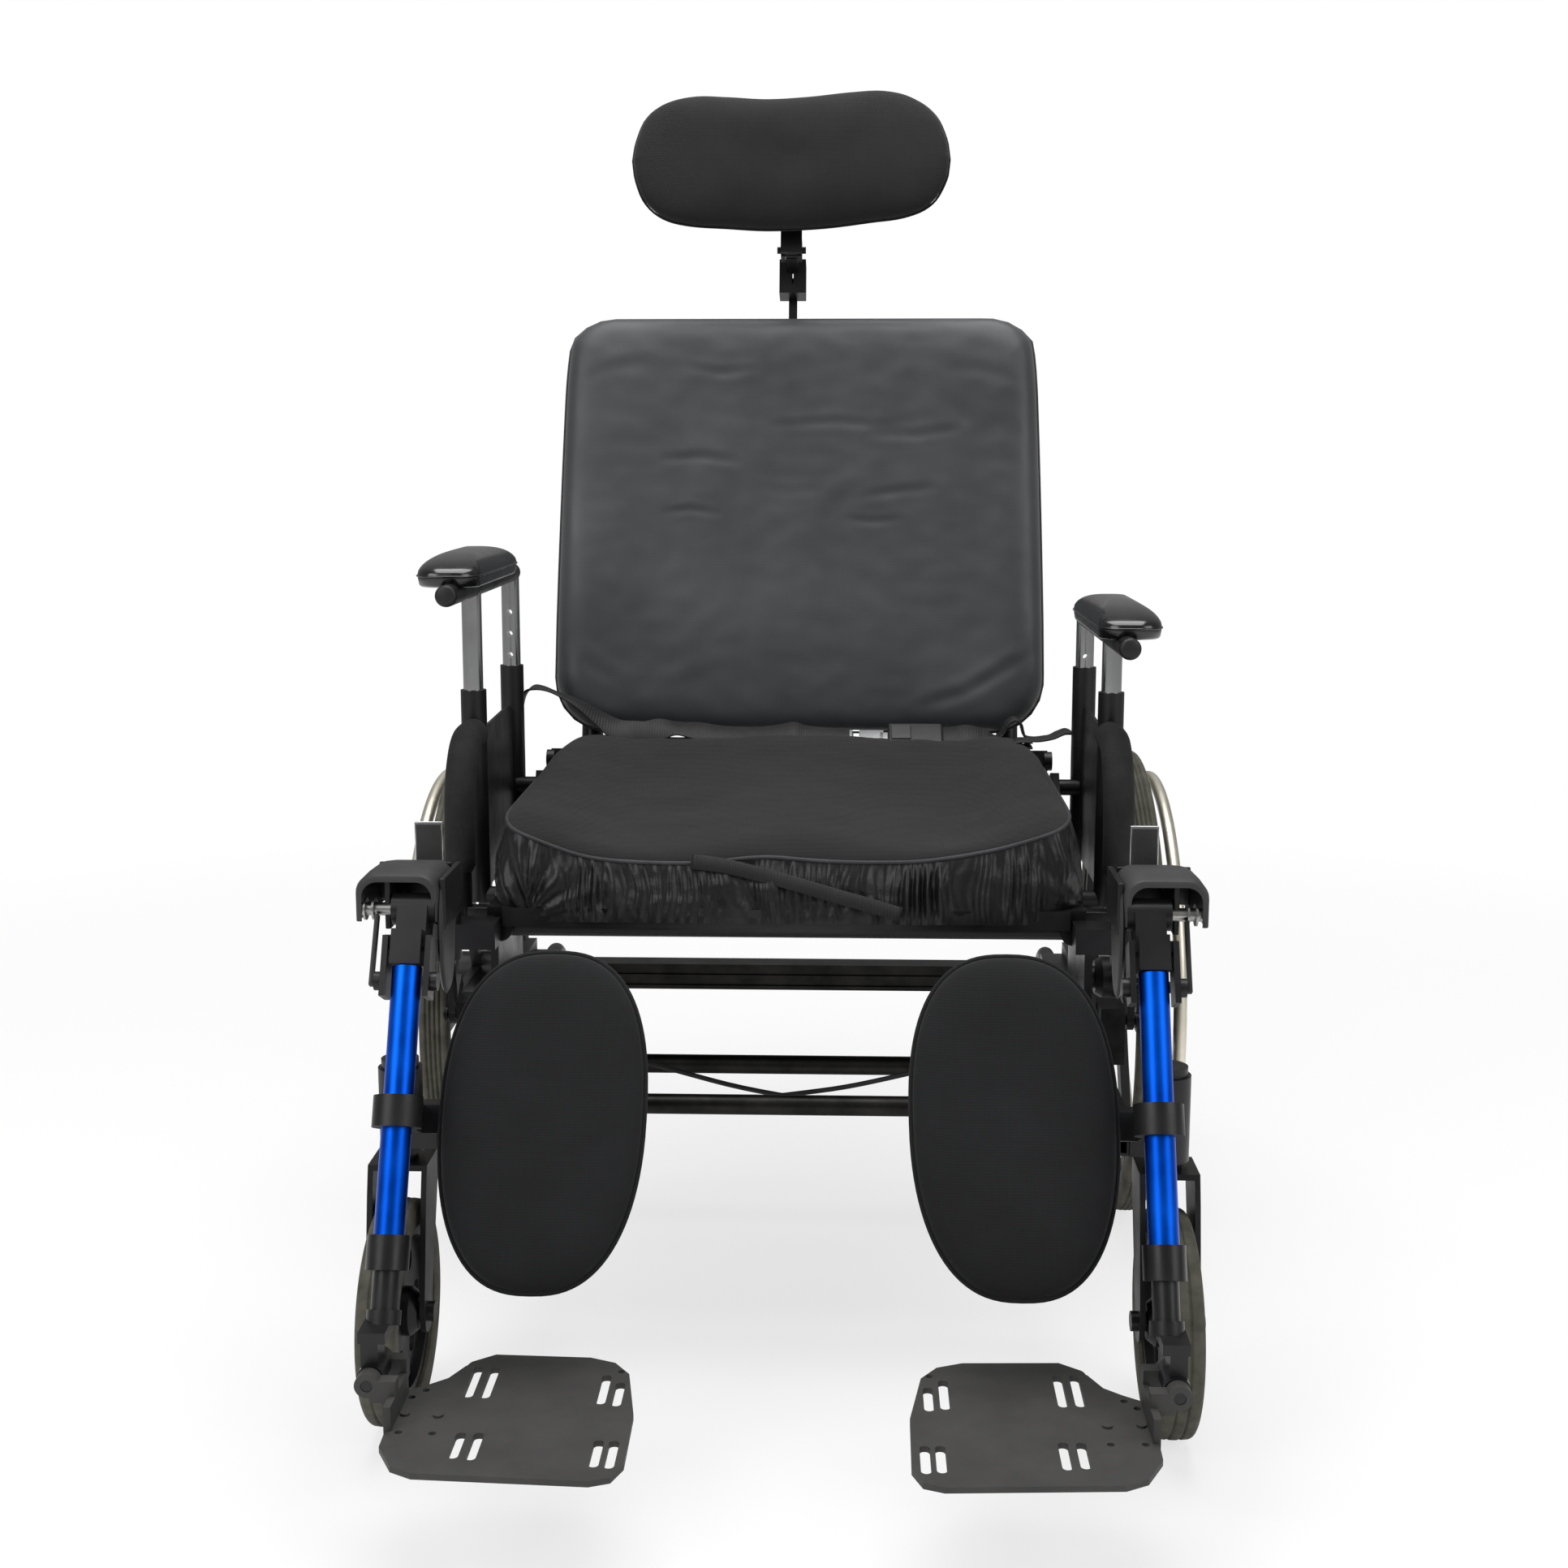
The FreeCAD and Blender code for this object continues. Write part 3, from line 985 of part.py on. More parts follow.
def footplates():
    outer, inner, front, rear = "PlateOuterX", "PlateInnerX", "PlateFrontY", "PlateRearY"
    for name, side in SIDES:
        points = [(f"{side} * ({outer} - 66)", rear), (f"{side} * ({outer} - 48)", f"{rear} - 14"),
                  (f"{side} * ({outer} - 34)", f"{rear} - 44"), (f"{side} * ({outer} - 20)", f"{rear} - 56"),
                  (f"{side} * ({outer} - 2)", f"{rear} - 68"), (f"{side} * {outer}", f"{rear} - 80"),
                  (f"{side} * ({outer} - 3)", f"{front} + 46"), (f"{side} * ({outer} - 18)", f"{front} + 17"),
                  (f"{side} * ({outer} - 36)", f"{front} + 7"), (f"{side} * ({inner} + 24)", front),
                  (f"{side} * ({inner} + 8)", f"{front} + 6"), (f"{side} * {inner}", f"{front} + 26"),
                  (f"{side} * ({inner} + 1)", f"{front} + 104"), (f"{side} * ({inner} + 12)", f"{rear} - 32"),
                  (f"{side} * ({inner} + 26)", f"{rear} - 12"), (f"{side} * ({inner} + 48)", f"{rear} - 3")]
        panel = plate("XY_Plane", points, "PlateThick", "0", "0", "PlateTopZ - PlateThick / 2")
        tools = []
        slots = [(248, -290, 54), (234, -291, 54), (241, -395, 40), (227, -396, 42), (139, -300, 50), (126, -308, 40),
                 (132, -404, 41), (120, -405, 42)]
        for x, y, long in slots:
            tools.append(block("8", f"{long} - 8", "20", f"{side * x}", y, "PlateTopZ"))
            tools += [rod("4", "20", f"{side * x}", f"{y} + {way} * ({long} - 8) / 2", "PlateTopZ") for way in (-1, 1)]
        tools += [rod("3", "20", f"{side * x}", y, "PlateTopZ") for x, y in
                  ((261, -259), (128, -268), (284, -306), (293, -318), (291, -376), (264, -377))]
        bracket = block("6", "64", "FlipZ - PlateTopZ", f"{side} * (FlipX - 20)", "FlipY - 12",
                        "(FlipZ + PlateTopZ - 16) / 2")
        shelf = block("40", "64", "5", f"{side} * (FlipX - 37)", "FlipY - 12", "PlateTopZ - PlateThick - 2.5")
        ears = []
        for y in ("FlipY - 19.8", "FlipY + 19.8"):
            ears.append(rod("10", "12", f"{side} * FlipX", y, "FlipZ", "y"))
            ears.append(block("20", "12", "18", f"{side} * (FlipX - 13)", y, "FlipZ - 5"))
        bore = rod("FlipPin + Slip", "120", f"{side} * FlipX", "FlipY", "FlipZ", "y")
        screws = [rod("4", "3", f"{side * x}", y, "PlateTopZ + 0.4") for x, y in ((292, -347), (265, -349))]
        body = cut(panel, *tools)
        node(cut(fuse(body, bracket, shelf, *ears, *screws), bore), f"footplate_{name}")


def check_and_write():
    doc.recompute()
    for obj in doc.Objects:
        if "Invalid" in obj.State or "Error" in obj.State:
            raise RuntimeError(f"{obj.Name} ({obj.Label}) failed: {obj.State}")
    os.makedirs("parts", exist_ok=True)
    for obj in nodes:
        shape = obj.Shape
        if shape.isNull() or not shape.isValid():
            raise RuntimeError(f"{obj.Label} is null or not valid")
    for obj in nodes:
        obj.Shape.exportStep(f"parts/{obj.Label}.step")
    print(len(nodes), "sub-parts written")


base_rails()
base_cross_tubes()
caster_housings()
axle_brackets()
rocker_towers()
tilt_cables()
wheel_lock_mounts()
anti_tippers()
wheel_lock_levers()
casters()
rear_wheels()
seat_frame()
rockers()
seat_pan()
seat_cushion()
side_panels()
arm_receivers()
transfer_grips()
belt()
armrests()
back_canes()
back_shell()
back_cushion()
headrest_bracket()
push_grips()
tilt_triggers()
headrest()
knee_hangers()
legs()
footplates()
check_and_write()
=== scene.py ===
"""Tilt in space wheelchair. Metres; +Z is up, the chair faces -Y, the left of the photograph is -X."""
import bpy
import bmesh
import json
import math
from mathutils import Matrix, Vector, noise


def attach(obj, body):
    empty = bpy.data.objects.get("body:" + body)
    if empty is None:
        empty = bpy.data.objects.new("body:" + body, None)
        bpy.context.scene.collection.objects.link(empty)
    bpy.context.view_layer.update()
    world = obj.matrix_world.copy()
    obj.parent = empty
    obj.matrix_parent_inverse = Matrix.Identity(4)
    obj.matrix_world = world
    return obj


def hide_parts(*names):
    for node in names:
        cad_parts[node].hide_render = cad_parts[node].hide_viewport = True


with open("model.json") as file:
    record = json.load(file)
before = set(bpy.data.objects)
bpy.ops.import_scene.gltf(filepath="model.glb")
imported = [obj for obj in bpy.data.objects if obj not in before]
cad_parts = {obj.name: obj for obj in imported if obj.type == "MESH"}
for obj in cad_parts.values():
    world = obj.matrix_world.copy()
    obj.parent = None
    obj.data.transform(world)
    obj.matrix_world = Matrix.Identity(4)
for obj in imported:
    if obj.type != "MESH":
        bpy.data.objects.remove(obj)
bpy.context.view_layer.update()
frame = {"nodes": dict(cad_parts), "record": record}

SIDES = (("left", -1), ("right", 1))
SEAT_FRONT = -0.173
BACK_LEAN = math.radians(15.6)
BACK_Y, BACK_Z = SEAT_FRONT + 0.43, 0.5606
LEG_LEAN = math.radians(25)
LEG_Y, LEG_Z = SEAT_FRONT - 0.181, 0.4576


# Places on the leaning parts

def on_back(x, depth, up):
    """depth goes rearward from the cushion's front plane and up runs along the back from the cushion's foot."""
    s, c = math.sin(BACK_LEAN), math.cos(BACK_LEAN)
    return Vector((x, BACK_Y + up * s + depth * c, BACK_Z + up * c - depth * s))


def on_leg(x, behind, down):
    """Measured from the upper end of a blue tube, behind it and down along it."""
    s, c = math.sin(LEG_LEAN), math.cos(LEG_LEAN)
    return Vector((x, LEG_Y + behind * c - down * s, LEG_Z - behind * s - down * c))


# Finishes

WAVES_PER_MM = 314


def linear(code):
    """A written colour as the shader's own values."""
    parts = [int(code[i:i + 2], 16) / 255 for i in (1, 3, 5)]
    return tuple(c / 12.92 if c <= 0.04045 else ((c + 0.055) / 1.055) ** 2.4 for c in parts) + (1,)


def add(tree, kind, sockets=None, links=None, **settings):
    """Add a node, set its sockets and settings, and link its inputs from other nodes' outputs."""
    node = tree.nodes.new(kind)
    for key, value in settings.items():
        setattr(node, key, value)
    for key, value in (sockets or {}).items():
        node.inputs[key].default_value = value
    for key, source in (links or {}).items():
        tree.links.new(source, node.inputs[key])
    return node


def finish(name, roughness, metallic=0.0, coat=0.0, sheen=0.0):
    """A material with its even values set on the shader itself."""
    material = bpy.data.materials.new(name)
    material.use_nodes = True
    tree = material.node_tree
    tree.nodes.clear()
    shader = add(tree, "ShaderNodeBsdfPrincipled", {
        "Roughness": roughness, "Metallic": metallic, "IOR": 1.5 if metallic else 1.42, "Coat Weight": coat,
        "Coat Roughness": 0.12, "Sheen Weight": sheen, "Sheen Roughness": 0.45})
    add(tree, "ShaderNodeOutputMaterial", links={"Surface": shader.outputs["BSDF"]})
    place = add(tree, "ShaderNodeTexCoord")
    return material, tree, shader, place.outputs["Object"]


def tint(tree, shader, place, dark, light, patch, low=0.35, high=0.65, detail=4.0):
    """Uneven colour in patches of a size in millimetres, between two colours."""
    cloud = add(tree, "ShaderNodeTexNoise", {"Scale": 1000 / patch, "Detail": detail, "Roughness": 0.6},
                {"Vector": place})
    ramp = add(tree, "ShaderNodeValToRGB", links={"Fac": cloud.outputs["Fac"]})
    for stop, at, colour in zip(ramp.color_ramp.elements, (low, high), (dark, light)):
        stop.position, stop.color = at, linear(colour)
    tree.links.new(ramp.outputs["Color"], shader.inputs["Base Color"])


def rub(tree, shader, place, patch, smooth, rough):
    """Roughness that wanders between two values in patches of a size in millimetres."""
    cloud = add(tree, "ShaderNodeTexNoise", {"Scale": 1000 / patch, "Detail": 3.0}, {"Vector": place})
    span = add(tree, "ShaderNodeMapRange", {"From Min": 0.3, "From Max": 0.7, "To Min": smooth, "To Max": rough},
               {"Value": cloud.outputs["Fac"]})
    tree.links.new(span.outputs["Result"], shader.inputs["Roughness"])


def relief(tree, shader, height, depth, strength=1.0):
    """Raise the surface by a depth in millimetres where the height is one."""
    bump = add(tree, "ShaderNodeBump", {"Strength": strength, "Distance": depth / 1000}, {"Height": height})
    tree.links.new(bump.outputs["Normal"], shader.inputs["Normal"])


def speckle(tree, place, grain):
    """Soft specks of a size in millimetres."""
    return add(tree, "ShaderNodeTexNoise", {"Scale": 1000 / grain, "Detail": 2.0}, {"Vector": place}).outputs["Fac"]


def pebbles(tree, place, grain):
    """Round cells of a size in millimetres."""
    return add(tree, "ShaderNodeTexVoronoi", {"Scale": 1000 / grain}, {"Vector": place}).outputs["Distance"]


def threads(tree, place, apart, crossing, **sockets):
    """Waves along X and along Z, a distance apart in millimetres, combined where they cross."""
    # A wave texture repeats 20 / (2 pi) times for each unit of its scale, so 314 gives one wave per millimetre
    waves = [add(tree, "ShaderNodeTexWave", {"Scale": WAVES_PER_MM / apart, **sockets}, {"Vector": place},
                 bands_direction=axis).outputs["Fac"] for axis in "XZ"]
    return add(tree, "ShaderNodeMath", links=dict(enumerate(waves)), operation=crossing).outputs["Value"]


def powder_coat(name, dark, light, roughness, grain=1.6, depth=0.05):
    """Baked powder paint: fine orange peel and slightly cloudy gloss."""
    material, tree, shader, place = finish(name, roughness)
    tint(tree, shader, place, dark, light, 40)
    rub(tree, shader, place, 55, roughness - 0.07, roughness + 0.1)
    relief(tree, shader, speckle(tree, place, grain), depth)
    return material


def moulded(name, dark, light, roughness, grain=1.2, depth=0.06, coat=0.0):
    """Injection moulded plastic: even colour with a fine spark-eroded grain."""
    material, tree, shader, place = finish(name, roughness, coat=coat)
    tint(tree, shader, place, dark, light, 60)
    rub(tree, shader, place, 35, roughness - 0.05, roughness + 0.08)
    relief(tree, shader, pebbles(tree, place, grain), depth)
    return material


def knitted(name, dark, light, stitch=2.6, depth=0.35, sheen=0.06):
    """Spacer knit cover: loops 1.3 mm apart on the real cloth, drawn twice as coarse so that they show."""
    material, tree, shader, place = finish(name, 0.92, sheen=sheen)
    tint(tree, shader, place, dark, light, 90, 0.3, 0.7)
    loops = threads(tree, place, stitch, "MULTIPLY", Distortion=0.6, Detail=1.0)
    relief(tree, shader, loops, depth, 0.6)
    return material


def metal(name, dark, light, roughness, patch=30, scratch=0.04):
    """Plated or anodised metal: clean reflections, broken a little by handling marks."""
    material, tree, shader, place = finish(name, roughness, metallic=1.0)
    tint(tree, shader, place, dark, light, patch)
    rub(tree, shader, place, 40, roughness - 0.02, roughness + 0.06)
    if scratch:
        relief(tree, shader, speckle(tree, place, 3.0), scratch, 0.3)
    return material


black_steel = powder_coat("powder_coated_steel_black", "#0d0d0e", "#151516", 0.36)
charcoal_plate = powder_coat("powder_coated_plate_charcoal", "#353433", "#3b3a39", 0.6, 2.2, 0.12)
extrusion = metal("anodised_extrusion_dark", "#262625", "#343331", 0.4)
chrome_plate = metal("chrome_plated_steel", "#c6c7c8", "#d2d2d2", 0.1, 60, 0.0)
blue_anodised = metal("anodised_aluminium_blue", "#0748b8", "#0d5cd8", 0.38, 80)
handrim_anodised = metal("anodised_aluminium_cream", "#d0cbbb", "#e6e1d2", 0.42, 50)
bright_bolt = metal("zinc_plated_steel", "#8c8c8a", "#b4b3ae", 0.3)
dark_bolt = metal("black_oxide_steel", "#1c1c1d", "#2e2e2f", 0.38)
panel_plastic = moulded("moulded_plastic_black", "#0f0f10", "#161617", 0.46)
knee_plastic = moulded("moulded_plastic_dark_grey", "#2a2a2b", "#353536", 0.5, 1.8, 0.1)
wheel_nylon = moulded("moulded_nylon_black", "#0f0f10", "#171718", 0.42)
pad_urethane = moulded("skinned_urethane_black", "#080809", "#0e0e0f", 0.2, 2.4, 0.03, 0.5)
cable_sheath = moulded("extruded_sheath_black", "#121212", "#1b1b1b", 0.4)
seat_knit = knitted("spacer_knit_black", "#09090a", "#101011")
head_knit = knitted("spacer_knit_charcoal", "#0f0f10", "#181819")
calf_knit = knitted("fine_knit_near_black", "#0b0c0d", "#131416", 2.2, 0.25, 0.04)


def coated_stretch_cloth():
    """Stretch cloth with a thin polyurethane coat: smooth mid grey with a soft broad sheen."""
    material, tree, shader, place = finish("coated_stretch_cloth_grey", 0.44, sheen=0.12)
    tint(tree, shader, place, "#2c2e30", "#3a3c3e", 170, 0.3, 0.72, 5.0)
    rub(tree, shader, place, 90, 0.38, 0.52)
    # The cloth's threads are 0.6 mm apart, drawn three times as coarse so that they show
    relief(tree, shader, threads(tree, place, 1.8, "ADD", Distortion=0.4), 0.05, 0.5)
    return material


def nylon_taffeta():
    """Thin woven nylon of the skirt: crisp small wrinkles and a dull shine."""
    material, tree, shader, place = finish("nylon_taffeta_black", 0.42)
    tint(tree, shader, place, "#08080a", "#101012", 30)
    relief(tree, shader, speckle(tree, place, 9), 0.9, 0.7)
    return material


def nylon_webbing():
    """Woven strap: ribs across its width, 1.5 mm apart, drawn at 3 mm so that they show."""
    material, tree, shader, place = finish("nylon_webbing_black", 0.62)
    tint(tree, shader, place, "#0c0c0d", "#161618", 25)
    ribs = add(tree, "ShaderNodeTexWave", {"Scale": WAVES_PER_MM / 3}, {"Vector": place}, bands_direction="X")
    relief(tree, shader, ribs.outputs["Fac"], 0.3, 0.6)
    return material


def closed_cell_foam():
    """Neoprene foam sleeve: dull skin with a pebbled surface."""
    material, tree, shader, place = finish("closed_cell_foam_black", 0.82)
    tint(tree, shader, place, "#101011", "#1a1a1b", 18)
    relief(tree, shader, pebbles(tree, place, 3.2), 0.35, 0.6)
    return material


def worn_tyre_rubber():
    """Solid polyurethane tyre: olive grey, scuffed paler and dusty in patches."""
    material, tree, shader, place = finish("worn_tyre_rubber_olive_grey", 0.72)
    tint(tree, shader, place, "#38372f", "#5b594d", 22, 0.3, 0.72, 6.0)
    relief(tree, shader, speckle(tree, place, 4.0), 0.4, 0.6)
    return material


back_cloth = coated_stretch_cloth()
skirt_nylon = nylon_taffeta()
webbing = nylon_webbing()
foam = closed_cell_foam()
tyre_rubber = worn_tyre_rubber()
seam_cord = moulded("braided_seam_cord", "#2a2a2c", "#3a3a3d", 0.7)


# Mesh helpers

def piece(name, shape, body, material, nodes=(), crease=None, closed=True):
    """A smooth shaded mesh that rides on a body and may stand for some of the frame's nodes."""
    points, faces = shape
    mesh = bpy.data.meshes.new(name)
    mesh.from_pydata([tuple(p) for p in points], [], faces)
    mesh.validate()
    if closed:
        work = bmesh.new()
        work.from_mesh(mesh)
        bmesh.ops.recalc_face_normals(work, faces=work.faces)
        work.to_mesh(mesh)
        work.free()
    mesh.polygons.foreach_set("use_smooth", [True] * len(mesh.polygons))
    if crease:
        mesh.set_sharp_from_angle(angle=math.radians(crease))
    mesh.materials.append(material)
    made = bpy.data.objects.new(name, mesh)
    bpy.context.scene.collection.objects.link(made)
    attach(made, body)
    if nodes:
        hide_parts(*nodes)
    return made


def puff(s, power, root=2):
    """One at the middle, falling to nothing at an edge where s is one."""
    return max(0.0, 1 - abs(s) ** power) ** (1 / root)


def pillow(rows, columns, shape):
    """Points and faces of a closed soft form whose two sheets meet along its outline."""
    points, faces, near, far = [], [], {}, {}
    for i in range(rows + 1):
        for j in range(columns + 1):
            s, t = -math.cos(math.pi * i / rows), -math.cos(math.pi * j / columns)
            a, b = shape(s, t)
            near[i, j] = far[i, j] = len(points)
            if i in (0, rows) or j in (0, columns):
                points.append((a + b) / 2)
            else:
                points.append(a)
                far[i, j] = len(points)
                points.append(b)
    for i in range(rows):
        for j in range(columns):
            corners = [(i, j), (i + 1, j), (i + 1, j + 1), (i, j + 1)]
            faces.append([near[c] for c in corners])
            faces.append([far[c] for c in reversed(corners)])
    return points, faces


def curve_through(points, steps, closed=False):
    """A smooth run of places through the points."""
    points = [Vector(p) for p in points]
    if closed:
        points = [points[-1], *points, *points[:2]]
    else:
        points = [points[0] * 2 - points[1], *points, points[-1] * 2 - points[-2]]
    out = []
    for p0, p1, p2, p3 in zip(points, points[1:], points[2:], points[3:]):
        for step in range(steps):
            t = step / steps
            out.append(0.5 * (2 * p1 + (p2 - p0) * t + (2 * p0 - 5 * p1 + 4 * p2 - p3) * t * t
                              + (3 * p1 - p0 - 3 * p2 + p3) * t ** 3))
    return out if closed else out + [points[-2]]


def bridge(count, size, closed=False, capped=False):
    """Faces between rings of points that follow one another, with the two ends filled where they are capped."""
    faces = []
    for k in range(count if closed else count - 1):
        a, b = k * size, (k + 1) % count * size
        faces += [[a + n, a + (n + 1) % size, b + (n + 1) % size, b + n] for n in range(size)]
    if capped:
        faces += [list(range(size))[::-1], [(count - 1) * size + n for n in range(size)]]
    return faces


def tube(places, radius, around, closed=False):
    """A round bar along the places; radius may be a function of how far along it is."""
    points = []
    count = len(places)
    normal = None
    for k, place in enumerate(places):
        ahead = places[(k + 1) % count] if closed else places[min(k + 1, count - 1)]
        behind = places[k - 1] if closed or k else places[0]
        along = (ahead - behind).normalized()
        if normal is None:
            normal = along.cross(Vector((0.3, 0.5, 0.8))).normalized()
        normal = (normal - along * normal.dot(along)).normalized()
        other = along.cross(normal)
        r = radius(k / (count - 1)) if callable(radius) else radius
        for n in range(around):
            a = 2 * math.pi * n / around
            points.append(place + normal * (r * math.cos(a)) + other * (r * math.sin(a)))
    return points, bridge(count, around, closed, capped=not closed)


def turned(profile, x, y, z, steps, side):
    """A ring turned about an axle along X; each profile point is (along the axle, radius) in metres."""
    points = []
    for k in range(steps):
        a = 2 * math.pi * k / steps
        for along, radius in profile:
            points.append(Vector((x + side * along, y + radius * math.sin(a), z + radius * math.cos(a))))
    return points, bridge(steps, len(profile), closed=True)


def post(x, y, heights, radius, around=28):
    """An upright round bar with rings at the heights."""
    return tube([Vector((x, y, z)) for z in heights], radius, around)


def strap(places, widths, thick):
    """A woven strap with thinner edges along the places, with the way its width points at each."""
    points = []
    count = len(places)
    section = [(-1, -0.25), (-0.94, -1), (0, -1), (0.94, -1), (1, -0.25)]
    section += [(u, -v) for u, v in reversed(section)]
    for k, (place, across) in enumerate(zip(places, widths)):
        along = (places[min(k + 1, count - 1)] - places[max(k - 1, 0)]).normalized()
        across = across - along * across.dot(along)
        out = along.cross(across).normalized() * (thick / 2)
        points += [place + across / 2 * u + out * v for u, v in section]
    return points, bridge(count, len(section), capped=True)


def slab(low, high, rounding, segments=3):
    """A block with rounded edges between two corners."""
    work = bmesh.new()
    bmesh.ops.create_cube(work, size=1)
    low, high = Vector(low), Vector(high)
    for corner in work.verts:
        corner.co = Vector([low[i] + (corner.co[i] + 0.5) * (high[i] - low[i]) for i in range(3)])
    bmesh.ops.bevel(work, geom=work.edges[:], offset=rounding, segments=segments, affect="EDGES", profile=0.6)
    points = [v.co.copy() for v in work.verts]
    faces = [[v.index for v in f.verts] for f in work.faces]
    work.free()
    return points, faces


def join(*meshes):
    """Several meshes as one."""
    points, faces = [], []
    for more, rings in meshes:
        start = len(points)
        points += list(more)
        faces += [[i + start for i in ring] for ring in rings]
    return points, faces


def rounded_outline(half_wide, half_tall, corner, steps, run):
    """Points around a rectangle: steps on each round corner and a run along each side."""
    out = []
    flat_wide, flat_tall = half_wide - corner, half_tall - corner
    signs = ((1, 1), (-1, 1), (-1, -1), (1, -1))
    for index, (sx, sy) in enumerate(signs):
        for k in range(steps + 1):
            a = math.pi / 2 * (index + k / steps)
            out.append((sx * flat_wide + corner * math.cos(a), sy * flat_tall + corner * math.sin(a)))
        nx, ny = signs[(index + 1) % 4]
        x0, y0 = out[-1]
        x1 = nx * flat_wide + corner * math.cos(math.pi / 2 * (index + 1))
        y1 = ny * flat_tall + corner * math.sin(math.pi / 2 * (index + 1))
        out += [(x0 + (x1 - x0) * k / run, y0 + (y1 - y0) * k / run) for k in range(1, run)]
    return out


def stuffed(outline, centre, rings, near, far):
    """A soft form over an outline: its two skins run in rings to the centre and meet at the rim."""
    count = len(outline)
    tight = 0.45  # How far the rings crowd towards the rim
    reach = [(1 - tight) * k / rings + tight * math.sin(math.pi / 2 * k / rings) for k in range(1, rings + 1)]
    points, faces = [], []
    for cover in (near, far):
        for m in reach if cover is near else reach[:-1]:
            for u, v in outline:
                points.append(cover(centre[0] + (u - centre[0]) * m, centre[1] + (v - centre[1]) * m, m))
        points.append(cover(centre[0], centre[1], 0.0))
    back = rings * count + 1
    for k in range(rings - 1):
        for n in range(count):
            p = (n + 1) % count
            faces.append([k * count + n, (k + 1) * count + n, (k + 1) * count + p, k * count + p])
            low = back + k * count
            high = back + (k + 1) * count if k < rings - 2 else (rings - 1) * count
            faces.append([low + p, high + p, high + n, low + n])
    for n in range(count):
        p = (n + 1) % count
        faces.append([rings * count, n, p])
        faces.append([len(points) - 1, back + p, back + n])
    return points, faces


def crease_at(x, z, line, depth, wide):
    """How deep a fold that follows a line of places is at x, z, with a low roll of cloth beside it."""
    best = 1e9
    along = 0.0
    for k, ((x0, z0), (x1, z1)) in enumerate(zip(line, line[1:])):
        dx, dz = x1 - x0, z1 - z0
        t = max(0.0, min(1.0, ((x - x0) * dx + (z - z0) * dz) / (dx * dx + dz * dz)))
        d = math.hypot(x - x0 - t * dx, z - z0 - t * dz)
        if d < best:
            best, along = d, (k + t) / (len(line) - 1)
            side = (z - z0 - t * dz) * dx - (x - x0 - t * dx) * dz
    if best > wide * 5:
        return 0.0
    fade = math.sin(math.pi * min(1, max(0, along * 0.9 + 0.05))) ** 0.6
    roll = 0.55 * math.exp(-((best - wide * 1.7) / wide) ** 2) * (1 if side > 0 else 0.5)
    return fade * depth * (math.exp(-(best / wide) ** 2) - roll)


# Seat cushion: knit top over foam, seam, gathered skirt and pull strap

SEAT_HALF = 0.27
SIDE_RUN, FRONT_RUN = 0.43, 0.54
SEAM = [(-0.27, 0.528), (-0.225, 0.511), (-0.19, 0.4995), (-0.153, 0.495), (-0.105, 0.4935), (-0.07, 0.4945),
        (-0.04, 0.4985), (-0.014, 0.5), (0.012, 0.498), (0.045, 0.496), (0.09, 0.4955), (0.13, 0.497),
        (0.191, 0.507), (0.239, 0.52), (0.27, 0.531)]
SADDLE = [(0.0, 0.5145), (0.16, 0.512), (0.34, 0.5045), (0.52, 0.5025), (0.68, 0.5095), (0.84, 0.529), (0.95, 0.5425),
          (1.0, 0.5455)]
SEAT_FOOT = 0.4522
SKIRT_FOOT = 0.4385
SEAT_REAR = 0.2625


def run_along(table, x):
    """Even value at x from a table of (x, value) pairs, bent smoothly through them."""
    x = min(max(x, table[0][0]), table[-1][0])
    for k in range(len(table) - 1):
        if x <= table[k + 1][0]:
            break
    (x0, a), (x1, b) = table[k], table[k + 1]
    before = table[max(k - 1, 0)]
    after = table[min(k + 2, len(table) - 1)]
    span = x1 - x0
    ma = (b - before[1]) / (x1 - before[0]) * span
    mb = (after[1] - a) / (after[0] - x0) * span
    t = (x - x0) / span
    return (2 * t ** 3 - 3 * t * t + 1) * a + (t ** 3 - 2 * t * t + t) * ma + (3 * t * t - 2 * t ** 3) * b \
        + (t ** 3 - t * t) * mb


def seam_height(x, v):
    """Height of the cover's seam at x, from the front at v 0 to the rear at v 1."""
    rear = 0.53 + 0.002 * abs(x) / SEAT_HALF
    k = min(1.0, max(0.0, v)) ** 0.7
    return run_along(SEAM, x) * (1 - k) + rear * k


def seat_place(s, t):
    """Place on the cushion's plan, with rounded corners, and how far back it is as v."""
    v = (t + 1) / 2
    half = 0.2695 - 0.01 * max(0.0, v - 0.75) / 0.25
    narrow, short = 1 - 0.055 * abs(t) ** 10, 1 - 0.028 * abs(s) ** 10
    return half * s * narrow, SEAT_FRONT + (SEAT_REAR - SEAT_FRONT) * (0.5 + 0.5 * t * short), v


def seat_top(s, t):
    """Height of the knit: two hollows for the thighs, a rise to the rear and a rolled front edge."""
    x, y, v = seat_place(s, t)
    u = abs(x) / SEAT_HALF
    body = run_along(SADDLE, u) + 0.046 * min(1, v * 1.1) ** 1.4 - 0.04 * max(0, u - 0.55) * v \
        + 0.01 * v * v * math.exp(-((u - 0.48) / 0.26) ** 2)
    ripple = 0.0012 * noise.noise(Vector((x * 22, y * 22, 1.3))) + 0.0005 * noise.noise(Vector((x * 90, y * 90, 4)))
    front = 1 - math.exp(-max(0.0, v) * 14)
    k = puff(s, 8) * puff(t, 9)
    rim = seam_height(x, v)
    pucker = 0.003 * math.exp(-(x / 0.01) ** 2) * math.exp(-v * 16)
    return rim + (body * front + (rim + 0.007) * (1 - front) - rim) * k + ripple * k - pucker * k


